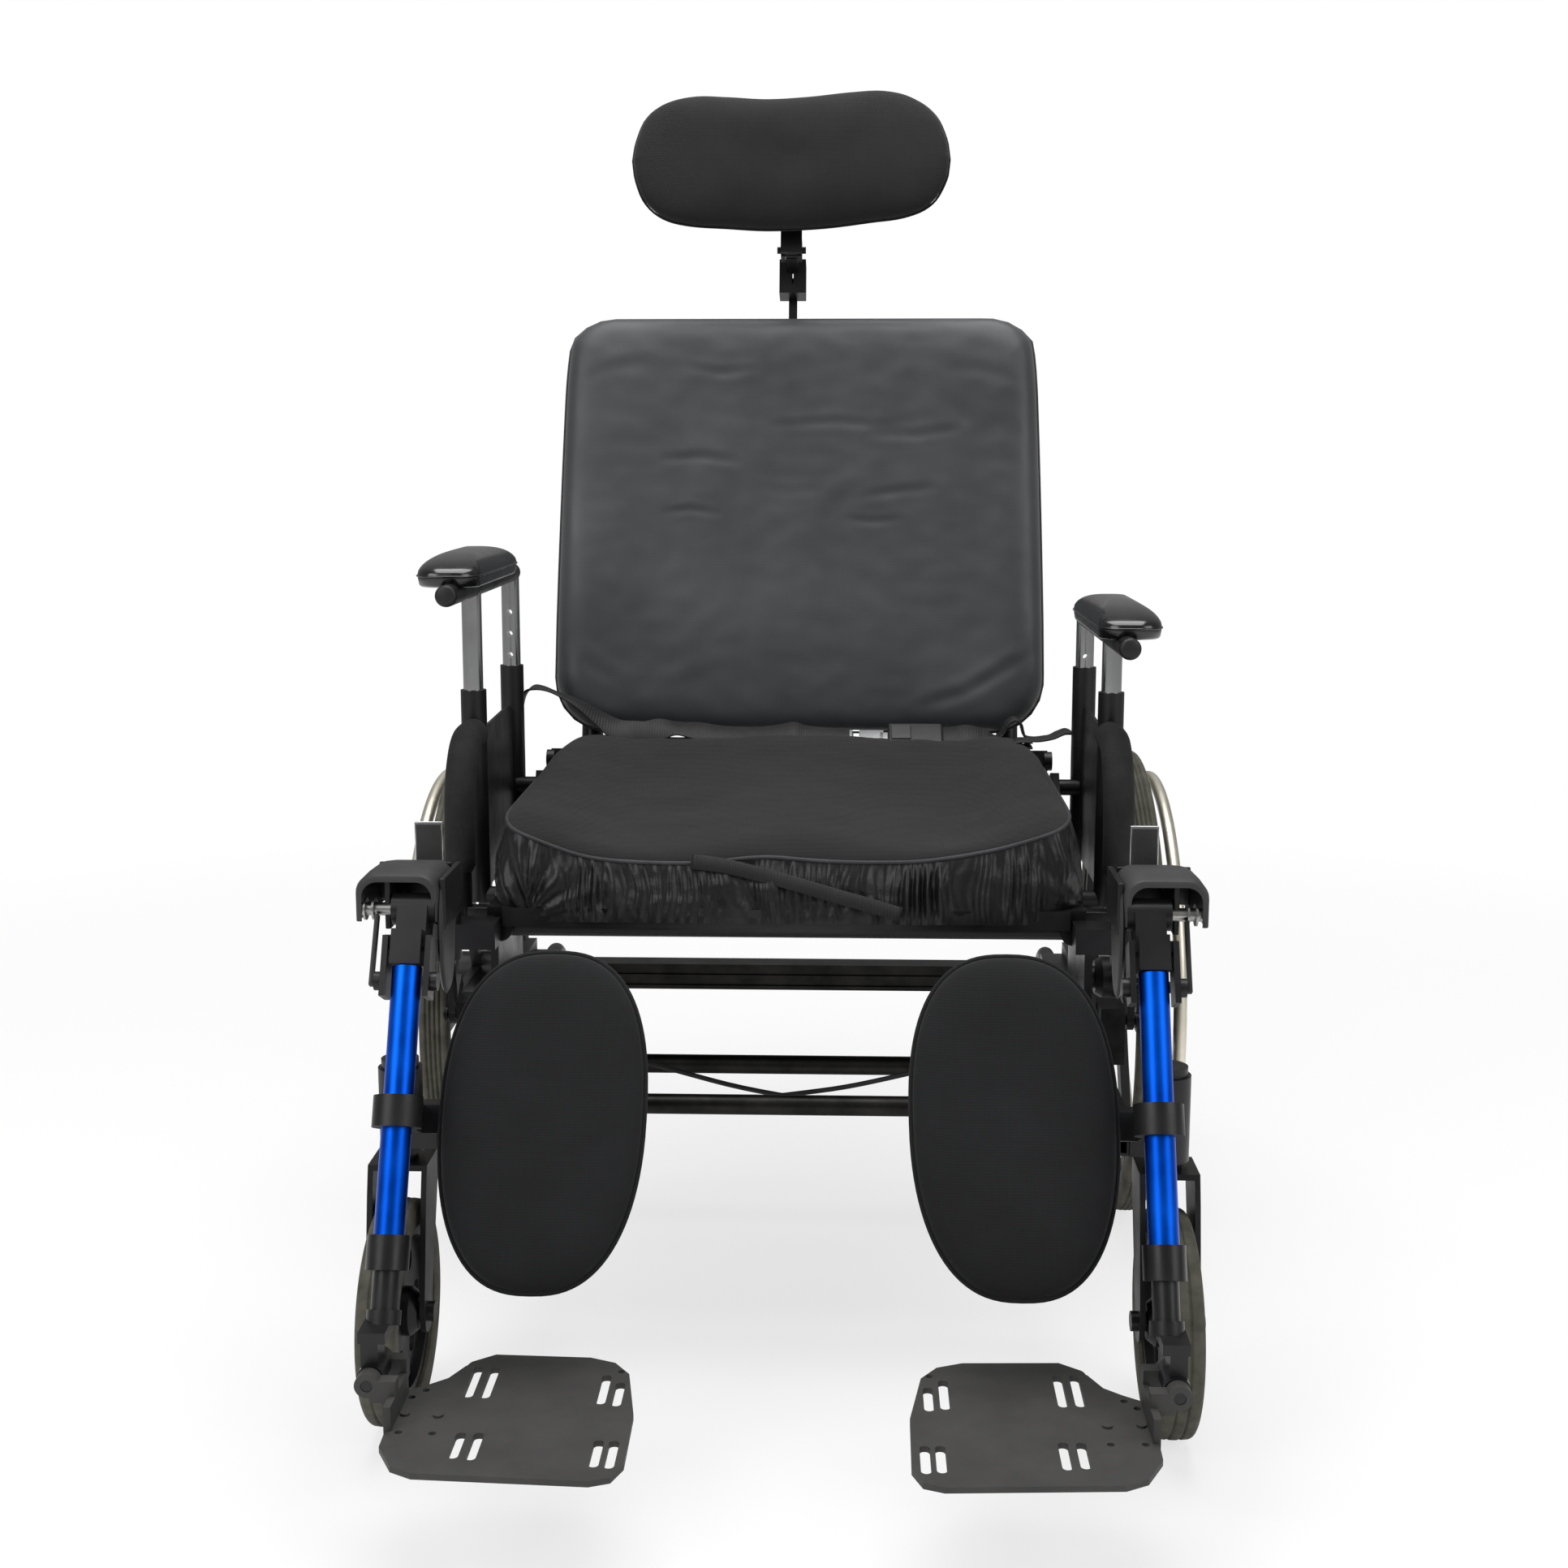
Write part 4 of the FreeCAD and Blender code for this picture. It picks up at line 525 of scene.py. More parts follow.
def seat_skins(s, t):
    x, y, v = seat_place(s, t)
    rim = seam_height(x, v)
    under = rim - (rim - SEAT_FOOT) * puff(s, 30, 3) * puff(t, 30, 3)
    return Vector((x, y, seat_top(s, t))), Vector((x * 0.992, SEAT_FRONT + (y - SEAT_FRONT) * 0.988 + 0.003, under))


seat_foam = piece("seat_cushion_top", pillow(110, 96, seat_skins), "seat", seat_knit, ["seat_cushion"])


def seat_edge(count):
    """Places along the seam from the left rear corner round the front to the right rear corner."""
    stops = [(-1, 0.97), (-1, -1), (1, -1), (1, 0.97)]
    lengths = [SIDE_RUN, FRONT_RUN, SIDE_RUN]
    total = sum(lengths)
    out = []
    for k in range(count + 1):
        d = k / count * total
        for leg, length in enumerate(lengths):
            if d <= length or leg == 2:
                f = min(1.0, d / length)
                break
            d -= length
        (s0, t0), (s1, t1) = stops[leg], stops[leg + 1]
        s, t = s0 + (s1 - s0) * f, t0 + (t1 - t0) * f
        x, y, v = seat_place(s, t)
        out.append((x, y, seam_height(x, v)))
    return out


edge_run = seat_edge(760)
soft_run = []
for k in range(len(edge_run)):
    near = edge_run[max(0, k - 6):k + 7]
    soft_run.append(Vector([sum(p[i] for p in near) / len(near) for i in range(3)]))
edge_out = []
for k, place in enumerate(soft_run):
    along = soft_run[min(k + 1, len(soft_run) - 1)] - soft_run[max(k - 1, 0)]
    edge_out.append(Vector((along.y, -along.x, 0)).normalized())

cord_places = [p + n * 0.0016 for p, n in zip(soft_run, edge_out)][::2]
piece("seat_cushion_seam", tube(cord_places, 0.0019, 10), "seat", seam_cord)


def skirt():
    """Thin nylon gathered under the seam: sharp upright pleats that fan out at the two front corners."""
    rows, steps = 18, 3
    dist = [0.0]
    for a, b in zip(soft_run, soft_run[1:]):
        dist.append(dist[-1] + (b - a).length)
    points, faces, places = [], [], []
    for k in range(len(soft_run) - 1):
        for j in range(steps):
            f = j / steps
            places.append((soft_run[k].lerp(soft_run[k + 1], f), edge_out[k].lerp(edge_out[k + 1], f),
                           dist[k] + (dist[k + 1] - dist[k]) * f))
    corners = [SIDE_RUN, SIDE_RUN + FRONT_RUN]
    for place, out, d in places:
        wobble = 2.2 * noise.noise(Vector((d * 14, 0, 2)))
        strength = 0.3 + 1.3 * max(0.0, noise.noise(Vector((d * 13, 7, 0))) + 0.2)
        corner = min(abs(d - c) for c in corners)
        fan = math.exp(-(corner / 0.055) ** 2)
        for r in range(rows + 1):
            v = r / rows
            swell = math.sin(math.pi * v) ** 0.7
            drift = 1.5 * noise.noise(Vector((d * 16, v * 1.6, 5)))
            fold = math.sin(2 * math.pi * (d / 0.0175 + wobble) + drift * 2.4 * v)
            fine = math.sin(2 * math.pi * (d / 0.007 + 2.6 * noise.noise(Vector((d * 30, 3, v)))))
            spread = math.sin(15 * math.atan2(0.075 * (1 - v) + 0.004, corner + 0.006))
            crumple = noise.noise(Vector((d * 45, v * 7, 1)))
            reach = 0.0012 + 0.0118 * v ** 0.9 + swell * (
                0.003 + 0.0033 * strength * (fold + drift) * (1 - fan) + 0.0034 * fan * spread
                + (0.0002 + 0.0007 * math.exp(-v * 5)) * fine + 0.0012 * crumple)
            z = place.z - 0.0005 + (SKIRT_FOOT - place.z + 0.0005) * v
            points.append(Vector((place.x, place.y, z)) + out * reach)
    count = len(places)
    for k in range(count - 1):
        for r in range(rows):
            a, b = k * (rows + 1) + r, (k + 1) * (rows + 1) + r
            faces.append([a, a + 1, b + 1, b])
    return points, faces


points, faces = skirt()
skirt_piece = piece("seat_cushion_skirt", (points, faces), "seat", skirt_nylon, closed=False)


# Pull strap of the cushion's cover, crossing the skirt's front
pull = [(-0.088, 0.496, 0.006), (-0.06, 0.493, 0.008), (-0.03, 0.487, 0.011), (0.01, 0.477, 0.014),
        (0.05, 0.466, 0.017), (0.084, 0.457, 0.019), (0.108, 0.45, 0.02)]
places = curve_through([Vector((x, SEAT_FRONT - out, z)) for x, z, out in pull], 6)
pull_strap = strap(places, [Vector((0, 0.004, 0.0135))] * len(places), 0.0014)
piece("seat_cushion_pull_strap", pull_strap, "seat", webbing)


# Back cushion

BACK_TALL = 0.494
BACK_HALF = 0.283
BACK_MIDDLE = 0.026
BACK_WIDE = [(0, 0.268), (0.006, 0.275), (0.016, 0.28), (0.034, 0.283), (0.08, 0.283), (0.247, 0.281), (0.394, 0.278),
             (0.434, 0.276), (0.464, 0.2725), (0.482, 0.266), (0.494, 0.252)]


def from_photo(px, py):
    """A spot on the back cushion, across and up from its foot, from where the photograph shows it."""
    return (px - 985.5) * 0.000911, (895 - py) * 0.000963


# Each fold's line, depth and width, then broad swellings with their width and rise; depths and rises in millimetres
WRINKLES = [([from_photo(*p) for p in line], depth / 1000, wide / 1000) for line, depth, wide in (
    (((846, 452), (885, 457), (926, 453)), 2.2, 4.5),
    (((812, 566), (860, 562), (905, 569)), 2.4, 4.5),
    (((950, 523), (1030, 518), (1108, 526)), 2.0, 4.5),
    (((1075, 534), (1130, 536), (1186, 529)), 2.4, 4.5),
    (((815, 632), (845, 628), (880, 633)), 2.2, 4.0),
    (((1070, 611), (1115, 605), (1158, 602)), 2.2, 4.5),
    (((1046, 640), (1082, 643), (1114, 639)), 1.8, 4.0),
    (((930, 600), (975, 606), (1010, 602)), 1.4, 5.0),
    (((1137, 868), (1196, 852), (1256, 818), (1292, 800)), 4.5, 6.0),
    (((690, 790), (720, 820), (760, 842)), 2.2, 7.0),
    (((700, 468), (740, 452), (790, 446)), 1.8, 6.0),
    (((1268, 470), (1226, 456), (1180, 452)), 1.8, 6.0))]
PATCHES = [(from_photo(px, py), wide, rise) for px, py, wide, rise in (
    (1000, 560, 0.12, 2.0), (719, 712, 0.05, 2.5), (1265, 668, 0.045, 2.5), (985, 800, 0.09, 3.0),
    (1190, 778, 0.05, -3.0), (985, 470, 0.1, -1.5))]


def back_front(x, z, m):
    z = min(max(z, 0.0), BACK_TALL)
    swell = 0.0
    for line, depth, wide in WRINKLES:
        swell -= crease_at(x, z, line, depth * 0.36, wide * 1.2)
    for (px, pz), wide, rise in PATCHES:
        swell += rise / 1000 * math.exp(-((x - px) ** 2 + (z - pz) ** 2) / wide ** 2)
    swell += 0.0026 * noise.noise(Vector((x * 11, z * 11, 0.7))) + 0.0008 * noise.noise(Vector((x * 34, z * 46, 3)))
    curl = 0.011 * (abs(x) / BACK_HALF) ** 4 - 0.004 * (1 - (x / BACK_HALF) ** 2)
    full = 0.026 * puff(m, 16, 2.0)
    return on_back(x, BACK_MIDDLE - full + 0.003 - (curl + swell) * puff(m, 20, 1.6), z)


def back_rear(x, z, m):
    return on_back(x, BACK_MIDDLE + 0.0235 * puff(m, 20, 2.2), z)


half_tall = BACK_TALL / 2
outline = [(u, v + half_tall) for u, v in rounded_outline(0.2825, 0.2465, 0.062, 16, 116)]
shaped = [(max(-run_along(BACK_WIDE, v), min(run_along(BACK_WIDE, v), u)), v) for u, v in outline]
back_mesh = stuffed(shaped, (0.0, half_tall), 92, back_front, back_rear)
back_pad = piece("back_cushion_cover", back_mesh, "back", back_cloth, ["back_cushion"])

# The cover's edge seam, a little behind its front
seam_line = [on_back(u * 1.0035, 0.031, half_tall + (v - half_tall) * 1.0035) for u, v in shaped][::3]
piece("back_cushion_seam", tube(seam_line, 0.0016, 8, closed=True), "back", seam_cord)


# Headrest: a bean of knit over foam

HEAD_TOP = [(-1.0, 0.0), (-0.985, 0.02), (-0.93, 0.049), (-0.82, 0.0685), (-0.63, 0.079), (-0.42, 0.079),
            (-0.16, 0.0765), (0.1, 0.079), (0.4, 0.0845), (0.6, 0.085), (0.78, 0.075), (0.92, 0.052),
            (0.985, 0.022), (1.0, 0.0)]
HEAD_LOW = [(-1.0, 0.0), (-0.985, -0.02), (-0.93, -0.047), (-0.82, -0.066), (-0.66, -0.0745), (-0.4, -0.0775),
            (-0.14, -0.08), (0.2, -0.0775), (0.5, -0.071), (0.74, -0.065), (0.9, -0.05), (0.985, -0.021),
            (1.0, 0.0)]
HEAD_X, HEAD_DEPTH, HEAD_UP = -0.012, -0.034, 0.662
HEAD_HALF = 0.184
stops = [-math.cos(math.pi * k / 120) for k in range(121)]
ring = [(HEAD_HALF * s, run_along(HEAD_TOP, s)) for s in stops]
ring += [(HEAD_HALF * s, run_along(HEAD_LOW, s)) for s in stops[-2:0:-1]]


def on_head(u, v, behind, wings=1.0):
    """A place across and up from the headrest's middle, with the two ends brought forward."""
    return on_back(HEAD_X + u, HEAD_DEPTH + behind - 0.01 * (abs(u) / HEAD_HALF) ** 3 * wings, HEAD_UP + v)


def head_front(u, v, m):
    lobes = 0.005 * math.cos(math.pi * u / 0.15) ** 2
    soft = 0.0012 * noise.noise(Vector((u * 28, v * 28, 6)))
    return on_head(u, v, (lobes + soft) * (1 - m) - 0.027 * puff(m, 2.8, 2.1))


def head_rear(u, v, m):
    full = puff(m, 5, 2.4)
    return on_head(u, v, 0.026 * full, 1 - 0.5 * full)


head_mesh = stuffed(ring, (0.0, 0.002), 34, head_front, head_rear)
head_pad = piece("headrest_cover", head_mesh, "headrest", head_knit, ["headrest_pad"])
rim = [on_back(HEAD_X + u * 1.004, HEAD_DEPTH + 0.004 - 0.01 * (abs(u) / HEAD_HALF) ** 3, HEAD_UP + v * 1.006)
       for u, v in ring]
piece("headrest_seam", tube(rim[::2], 0.0013, 8, closed=True), "headrest", head_knit)


# Calf pads: egg shaped, wider above, with a welt round the rim

CALF_X, CALF_BEHIND, CALF_DOWN = 0.2, 0.036, 0.136


def calf(name, side):
    ring = []
    for k in range(96):
        a = 2 * math.pi * k / 96
        across, along = math.cos(a), math.sin(a)
        wide = 0.0855 * math.copysign(abs(across) ** 0.78, across) * (1 + 0.03 * along)
        tall = 0.142 * math.copysign(abs(along) ** 0.84, along) - 0.005
        ring.append((wide - side * 0.004 * along, tall))

    def place(u, v, behind):
        return on_leg(side * CALF_X + u, CALF_BEHIND + behind, CALF_DOWN - v)

    def near(u, v, m):
        dish = 0.007 * (1 - m * m)
        soft = 0.001 * noise.noise(Vector((u * 30 + side, v * 30, 6)))
        return place(u, v, dish - 0.02 * puff(m, 3.4, 2.1) - soft * (1 - m))

    def behind(u, v, m):
        return place(u, v, 0.0175 * puff(m, 7, 2.6))

    body = f"calf_{name}"
    cover = stuffed(ring, (0.0, 0.006), 30, near, behind)
    pad = piece(f"calf_cover_{name}", cover, body, calf_knit, [f"calf_pad_{name}"])
    rim = [place(u * 1.012, v * 1.008, 0.0015) for u, v in ring]
    piece(f"calf_welt_{name}", tube(rim, 0.0024, 10, closed=True), body, calf_knit)


# Armrest pads: a glossy dome on a straight base band

ARM_TOP = {"left": 0.7507, "right": 0.7027}
PAD_SUNK = 0.006
BAND_TALL = 0.0125


def arm_pad(name, side):
    body = f"armrest_{name}"
    foot = ARM_TOP[name] - PAD_SUNK
    outline = rounded_outline(0.0305, 0.128, 0.024, 10, 30)
    x, y = side * 0.327, 0.015

    def dome(u, v, m):
        fall = 0.0035 * max(0.0, -v / 0.128) ** 2
        return Vector((x + u, y + v, foot + BAND_TALL + 0.0215 * puff(m, 2.3, 1.9) - fall * (1 - m)))

    def base(u, v, m):
        wide, long = (0.985, 0.995) if m < 1 else (1, 1)
        return Vector((x + u * wide, y + v * long, foot + BAND_TALL * (1 - puff(m, 24, 3)) + 0.0004))

    skin = stuffed(outline, (0, 0), 26, dome, base)
    pad = piece(f"arm_pad_skin_{name}", skin, body, pad_urethane, [f"armrest_pad_{name}"])
    line = [Vector((x + u * 1.004, y + v * 1.001, foot + 0.0122)) for u, v in outline][::2]
    piece(f"arm_pad_band_{name}", tube(line, 0.001, 8, closed=True), body, pad_urethane)

    # The plastic cap in the open end of the tube under the pad, as (forward, radius) rings
    bar = ARM_TOP[name] - 0.0107
    cap = [(0.0, 0.0), (0.0, 0.0098), (-0.0012, 0.0104), (-0.003, 0.0098), (-0.0042, 0.0072), (-0.0046, 0.0)]
    points, faces = [], []
    for k in range(36):
        a = 2 * math.pi * k / 36
        points += [Vector((side * 0.322 + r * math.cos(a), -0.1312 + d, bar + r * math.sin(a))) for d, r in cap]
        b = (k + 1) % 36
        faces += [[k * 6 + n, k * 6 + n + 1, b * 6 + n + 1, b * 6 + n] for n in range(5)]
    piece(f"arm_tube_cap_{name}", (points, faces), body, panel_plastic, crease=50)


# Transfer grips: foam sleeve over a bent bar

def grips():
    def radius(f):
        """Rounded over at the upper end and drawn in at the lower end."""
        return 0.015 * (1 - 0.25 * (1 - min(1, f / 0.04)) ** 2) * (1 - 0.22 * max(0, (f - 0.975) / 0.025) ** 2)

    run = [(-0.0195, 0.594), (-0.046, 0.594), (-0.064, 0.592), (-0.0815, 0.582), (-0.0955, 0.565), (-0.1035, 0.545),
           (-0.1075, 0.515), (-0.11, 0.47)]
    sleeves, bars = [], []
    for _, side in SIDES:
        x = side * 0.319
        sleeves.append(tube(curve_through([(x, y, z) for y, z in run], 7), radius, 28))
        bars.append(post(x, -0.11, (0.424, 0.4255, 0.44, 0.46, 0.472), 0.011))
        low, high = sorted((side * 0.2828, x))
        bars.append(slab((low, -0.118, 0.424), (high, -0.102, 0.436), 0.0015))
    piece("transfer_grip_foam", join(*sleeves), "seat", foam, ["transfer_grips"], crease=50)
    piece("transfer_grip_bars", join(*bars), "seat", black_steel, crease=40)


# Ribbed sleeves on the push handles, with a plain ring at each end

def handle_sleeves():
    def radius(f):
        if f < 0.06 or f > 0.955:
            return 0.0155 - 0.002 * max(0, (f - 0.98) / 0.02) ** 2
        return 0.0143 + 0.001 * (0.5 + 0.5 * math.cos(2 * math.pi * f * 19))

    sleeves = [tube([Vector((side * 0.2445, 0.5232 + 0.0945 * (k / 96), 0.9655)) for k in range(97)], radius, 32)
               for _, side in SIDES]
    piece("push_grip_sleeves", join(*sleeves), "back", foam, ["push_grips"], crease=60)


# Tyres

def tyre(kind, name, x, y, radius, inner, wide, side, grooves):
    """A worn tyre with grooves at places across its tread."""
    half = wide / 2
    deep = radius - inner
    shoulder = radius - deep * 0.34
    edge = [(-half + 0.002, inner - 0.0006), (-half + 0.0005, inner + 0.003), (-half, inner + deep * 0.35)]
    crown = [(-half + 0.0004, shoulder)]
    for k in range(7):
        a = math.pi / 2 * (k + 1) / 7
        crown.append((-half + half * 0.36 * (1 - math.cos(a)), shoulder + deep * 0.31 * math.sin(a)))
    tread = []
    flat = half * 0.62
    for k in range(33):
        u = -flat + 2 * flat * k / 32
        dip = max(math.exp(-((u - g) / 0.0011) ** 2) for g in grooves) * 0.0018
        tread.append((u, radius - deep * 0.03 * (abs(u) / flat) ** 2 - dip))
    profile = edge + crown + tread + [(-u, r) for u, r in reversed(crown)] + [(-u, r) for u, r in reversed(edge)]
    piece(f"{kind}_tread_{name}", turned(profile, side * x, y, radius, 144, side), f"{kind}_wheel_{name}", tyre_rubber,
          [f"{kind}_tyre_{name}"], crease=45)


# Hip belt

BELT_Y = 0.232
LAP_Y = BELT_Y - 0.0345
BELT_WIDE, BELT_THICK = 0.034, 0.0023


def belt_run(spots):
    places = curve_through([s[0] for s in spots], 6)
    widths = curve_through([s[1] for s in spots], 6)
    return strap(places, [w.normalized() * BELT_WIDE for w in widths], BELT_THICK)


def lie(way, *spots, y=BELT_Y):
    """Places of a strap whose width points one way; a spot with two numbers is at depth y."""
    return [((spot[0], spot[1] if len(spot) == 3 else y, spot[-1]), way) for spot in spots]


def belt():
    flat = (0, 1, 0)
    tipped = (0, 0.88, 0.47)
    left = lie(flat, (-0.3185, 0.2533, 0.456), (-0.3188, 0.2533, 0.5), (-0.3186, 0.253, 0.555),
               (-0.3165, 0.251, 0.588), (-0.308, 0.2465, 0.6035), (-0.296, 0.2405, 0.6075))
    left += [((-0.276, 0.235, 0.6035), (0, 1, -0.1)), ((-0.25, BELT_Y, 0.592), (0, 1, 0.1)),
             ((-0.224, BELT_Y, 0.574), (0, 0.9, 0.4)), ((-0.2, BELT_Y - 0.004, 0.56), (0.1, 0.7, 0.72)),
             ((-0.178, BELT_Y - 0.005, 0.557), (0.15, 0.55, 0.85)),
             ((-0.156, BELT_Y - 0.002, 0.562), (0.0, 0.75, 0.65)), ((-0.136, BELT_Y, 0.563), (0, 0.95, 0.3))]
    left += lie(tipped, (-0.112, 0.56), (-0.084, 0.556), (-0.045, 0.555), (-0.02, 0.558), (-0.004, 0.561),
                (0.01, 0.557), (0.035, 0.5545), (0.064, 0.554))
    right = lie(tipped, (0.16, 0.555), (0.176, 0.556), (0.19, 0.5585), (0.203, 0.5565), (0.214, 0.553))
    right += lie(flat, (0.226, 0.554), (0.233, 0.561), (0.2375, 0.571), (0.245, 0.576), (0.252, 0.572),
                 (0.2545, 0.5635), (0.258, 0.555), (0.269, 0.5525), (0.286, 0.235, 0.5545),
                 (0.3, 0.241, 0.5585), (0.311, 0.248, 0.557), (0.318, 0.253, 0.546),
                 (0.3192, 0.2533, 0.52), (0.319, 0.2533, 0.456))
    loop = lie(flat, (0.262, 0.55), (0.248, 0.548), (0.228, 0.54), (0.175, 0.535), (0.11, 0.532),
               (0.058, 0.5345), (0.0515, 0.537), (0.05, 0.54), (0.0535, 0.5425), (0.064, 0.542), (0.112, 0.5385),
               (0.176, 0.5415), (0.226, 0.548), (0.246, 0.556), (0.262, 0.556), y=LAP_Y)
    piece("hip_belt_left", belt_run(left), "seat", webbing, ["belt_strap_left"])
    piece("hip_belt_right", join(belt_run(right), belt_run(loop)), "seat", webbing, ["belt_strap_right"])

    # The hardware was drawn flat, and its top is tipped towards the front as the strap lies
    tip = Matrix.Translation((0, BELT_Y, 0.5545)) @ Matrix.Rotation(math.radians(28), 4, "X") \
        @ Matrix.Translation((0, -BELT_Y, -0.549))

    def hardware(name, material, slot, *blocks, nodes=()):
        points, faces = join(*blocks)
        piece(name, ([tip @ p for p in points], faces), "seat", material, nodes, crease=40)

    hardware("belt_tongue", chrome_plate, "chrome",
             slab((0.0705, 0.2195, 0.547), (0.0985, 0.2445, 0.55), 0.001),
             slab((0.0587, 0.219, 0.5466), (0.0635, 0.245, 0.5504), 0.0016),
             slab((0.062, 0.219, 0.547), (0.0715, 0.2225, 0.55), 0.001),
             slab((0.062, 0.2415, 0.547), (0.0715, 0.245, 0.55), 0.001))
    hardware("belt_buckle_body", panel_plastic, "panel_plastic",
             slab((0.103, 0.2135, 0.5435), (0.165, 0.251, 0.5555), 0.0035, 4), nodes=["belt_buckle"])
    hardware("belt_buckle_button", knee_plastic, "knee_plastic",
             slab((0.1065, 0.219, 0.553), (0.129, 0.245, 0.5572), 0.0015))
    hardware("belt_buckle_neck", chrome_plate, "chrome",
             slab((0.0935, 0.224, 0.5472), (0.1045, 0.24, 0.55), 0.0008))


# Knees: a thin plastic cover open to the front over two steel plates, with an ear on its inner side

KNEE_X = 0.3305
KNEE_STATIONS = [
    (-0.3335, 0.0335, 0.512), (-0.3325, 0.035, 0.514), (-0.329, 0.0362, 0.5152), (-0.3, 0.0365, 0.5155),
    (-0.27, 0.0362, 0.5145), (-0.245, 0.035, 0.51), (-0.22, 0.032, 0.5035), (-0.196, 0.027, 0.497)]
EAR = [(-0.33, 0.493), (-0.3345, 0.47), (-0.335, 0.445), (-0.329, 0.42), (-0.316, 0.406),
       (-0.299, 0.406), (-0.286, 0.418), (-0.278, 0.44), (-0.27, 0.47), (-0.262, 0.496),
       (-0.27, 0.506), (-0.3, 0.509), (-0.322, 0.505)]


def hoop(half, top, low, inset):
    """Outline across the knee from one foot over two round corners to the other."""
    steps, bend = 9, 0.017 - inset
    half, top = half - inset, top - inset
    turns = [math.pi / 2 * k / steps for k in range(steps + 1)]
    out = [(-half, low), (-half, (low + top - bend) / 2)]
    out += [(-half + bend - bend * math.cos(a), top - bend + bend * math.sin(a)) for a in turns]
    return out + [(-u, w) for u, w in reversed(out)]


def knee_shell(middle, wall=0.0032):
    """The cover, a thin wall bent over the stations of depth, half width and height."""
    points = []
    for y, half, top in KNEE_STATIONS:
        low = 0.474 - 0.004 * max(0, (y + 0.3) / 0.1)
        ring = hoop(half, top, low, 0) + hoop(half, top, low, wall)[::-1]
        points += [Vector((middle + u, y, w)) for u, w in ring]
    count = len(ring)
    faces = bridge(len(KNEE_STATIONS), count)
    for start in (0, len(points) - count):
        for n in range(count // 2 - 1):
            faces.append([start + n, start + n + 1, start + count - 2 - n, start + count - 1 - n])
    return points, faces


def knee(name, side):
    body, middle = f"knee_{name}", side * KNEE_X

    def ear_face(out):
        """One face of the ear; the inner one is dished."""
        def place(u, v, m):
            dish = 0.0013 * (1 - m * m) if out < 0 else 0.0
            return Vector((side * (0.2935 + out * (0.003 * puff(m, 9, 2.2) - dish)), u, v))
        return place

    outline = [(p.y, p.z) for p in curve_through([Vector((0, y, z)) for y, z in EAR], 5, closed=True)]
    cover = join(knee_shell(middle), stuffed(outline, (-0.302, 0.457), 10, ear_face(-1), ear_face(1)))
    piece(f"knee_cover_{name}", cover, body, knee_plastic, [f"knee_hanger_{name}"], crease=38)

    plates = []
    for x in (side * 0.316 - 0.024, side * 0.316 + 0.024):
        plates.append(slab((x - 0.0025, -0.3255, 0.4655), (x + 0.0025, -0.2525, 0.5105), 0.0012))
    plates.append(slab((middle - 0.0325, -0.256, 0.476), (middle + 0.0325, -0.252, 0.51), 0.001))
    plates.append(post(side * 0.315, -0.203, (0.402, 0.4035, 0.454), 0.008))
    plates.append(post(side * 0.315, -0.203, (0.4523, 0.454, 0.493), 0.016, 32))
    piece(f"knee_plates_{name}", join(*plates), body, black_steel, crease=38)

    def pin(stops, radius, around):
        return tube([Vector((middle + d, -0.323, 0.483)) for d in stops], radius, around)

    washers = [pin((d - 0.0009, d + 0.0009), 0.0098, 28) for d in (-0.029, -0.0215, 0.019, 0.0262)]
    bolt = join(pin((-0.033, 0.0, 0.033), 0.0058, 24), *washers)
    piece(f"knee_pin_{name}", bolt, body, bright_bolt, crease=38)

    # The release lever's upright plate behind the cover, bright along its cut edge
    low, high = sorted((side * 0.319, side * 0.342))
    lever = slab((low, -0.199, 0.49), (high, -0.1965, 0.534), 0.001)
    piece(f"knee_release_{name}", lever, body, knee_plastic, crease=40)
    lever = slab((low - 0.0016, -0.1966, 0.49), (high + 0.0016, -0.1946, 0.5358), 0.0008)
    piece(f"knee_release_edge_{name}", lever, body, chrome_plate, crease=40)

    # A flat link beside the neck, from the cover down to the bolt on the tube's clamp
    high, low = Vector((side * 0.348, -0.33, 0.479)), on_leg(side * 0.346, 0.0, 0.034)
    link = strap([high.lerp(low, k / 8) for k in range(9)], [Vector((0, 0.0105, 0.0045))] * 9, 0.0034)
    piece(f"knee_side_link_{name}", link, f"leg_{name}", black_steel, crease=40)


for name, side in SIDES:
    knee(name, side)
    calf(name, side)
    arm_pad(name, side)
    tyre("caster", name, 0.348, -0.295, 0.101, 0.077, 0.036, side, (-0.0052, 0.0052))
    tyre("rear", name, 0.376, 0.2715, 0.266, 0.246, 0.032, side, (-0.0075, -0.0025, 0.0025, 0.0075))
grips()
handle_sleeves()
belt()


# The modelled parts that stay: finishes and smooth shading

FINISHES = {
    "frame_black": black_steel, "bar_grey": extrusion, "steel": dark_bolt, "cable_sheath": cable_sheath,
    "panel_plastic": panel_plastic, "webbing": webbing, "foam": foam, "knit": seat_knit, "coated_cloth": back_cloth,
    "caster_fork_black": black_steel, "wheel_plastic": wheel_nylon, "tyre_grey": tyre_rubber,
    "handrim_silver": handrim_anodised, "chrome": chrome_plate, "pad_urethane": pad_urethane,
    "knee_plastic": knee_plastic, "blue_anodised": blue_anodised, "calf_knit": calf_knit,
    "plate_charcoal": charcoal_plate}
REPLACED = ("seat_cushion", "back_cushion", "headrest_pad", "transfer_grips", "push_grips", "belt_", "calf_pad",
            "knee_hanger", "armrest_pad", "caster_tyre", "rear_tyre")


def second_finish(node, material, chosen):
    """Give the faces whose middle is chosen a second material."""
    node.data.materials.append(material)
    for face in node.data.polygons:
        if chosen(face.center):
            face.material_index = 1


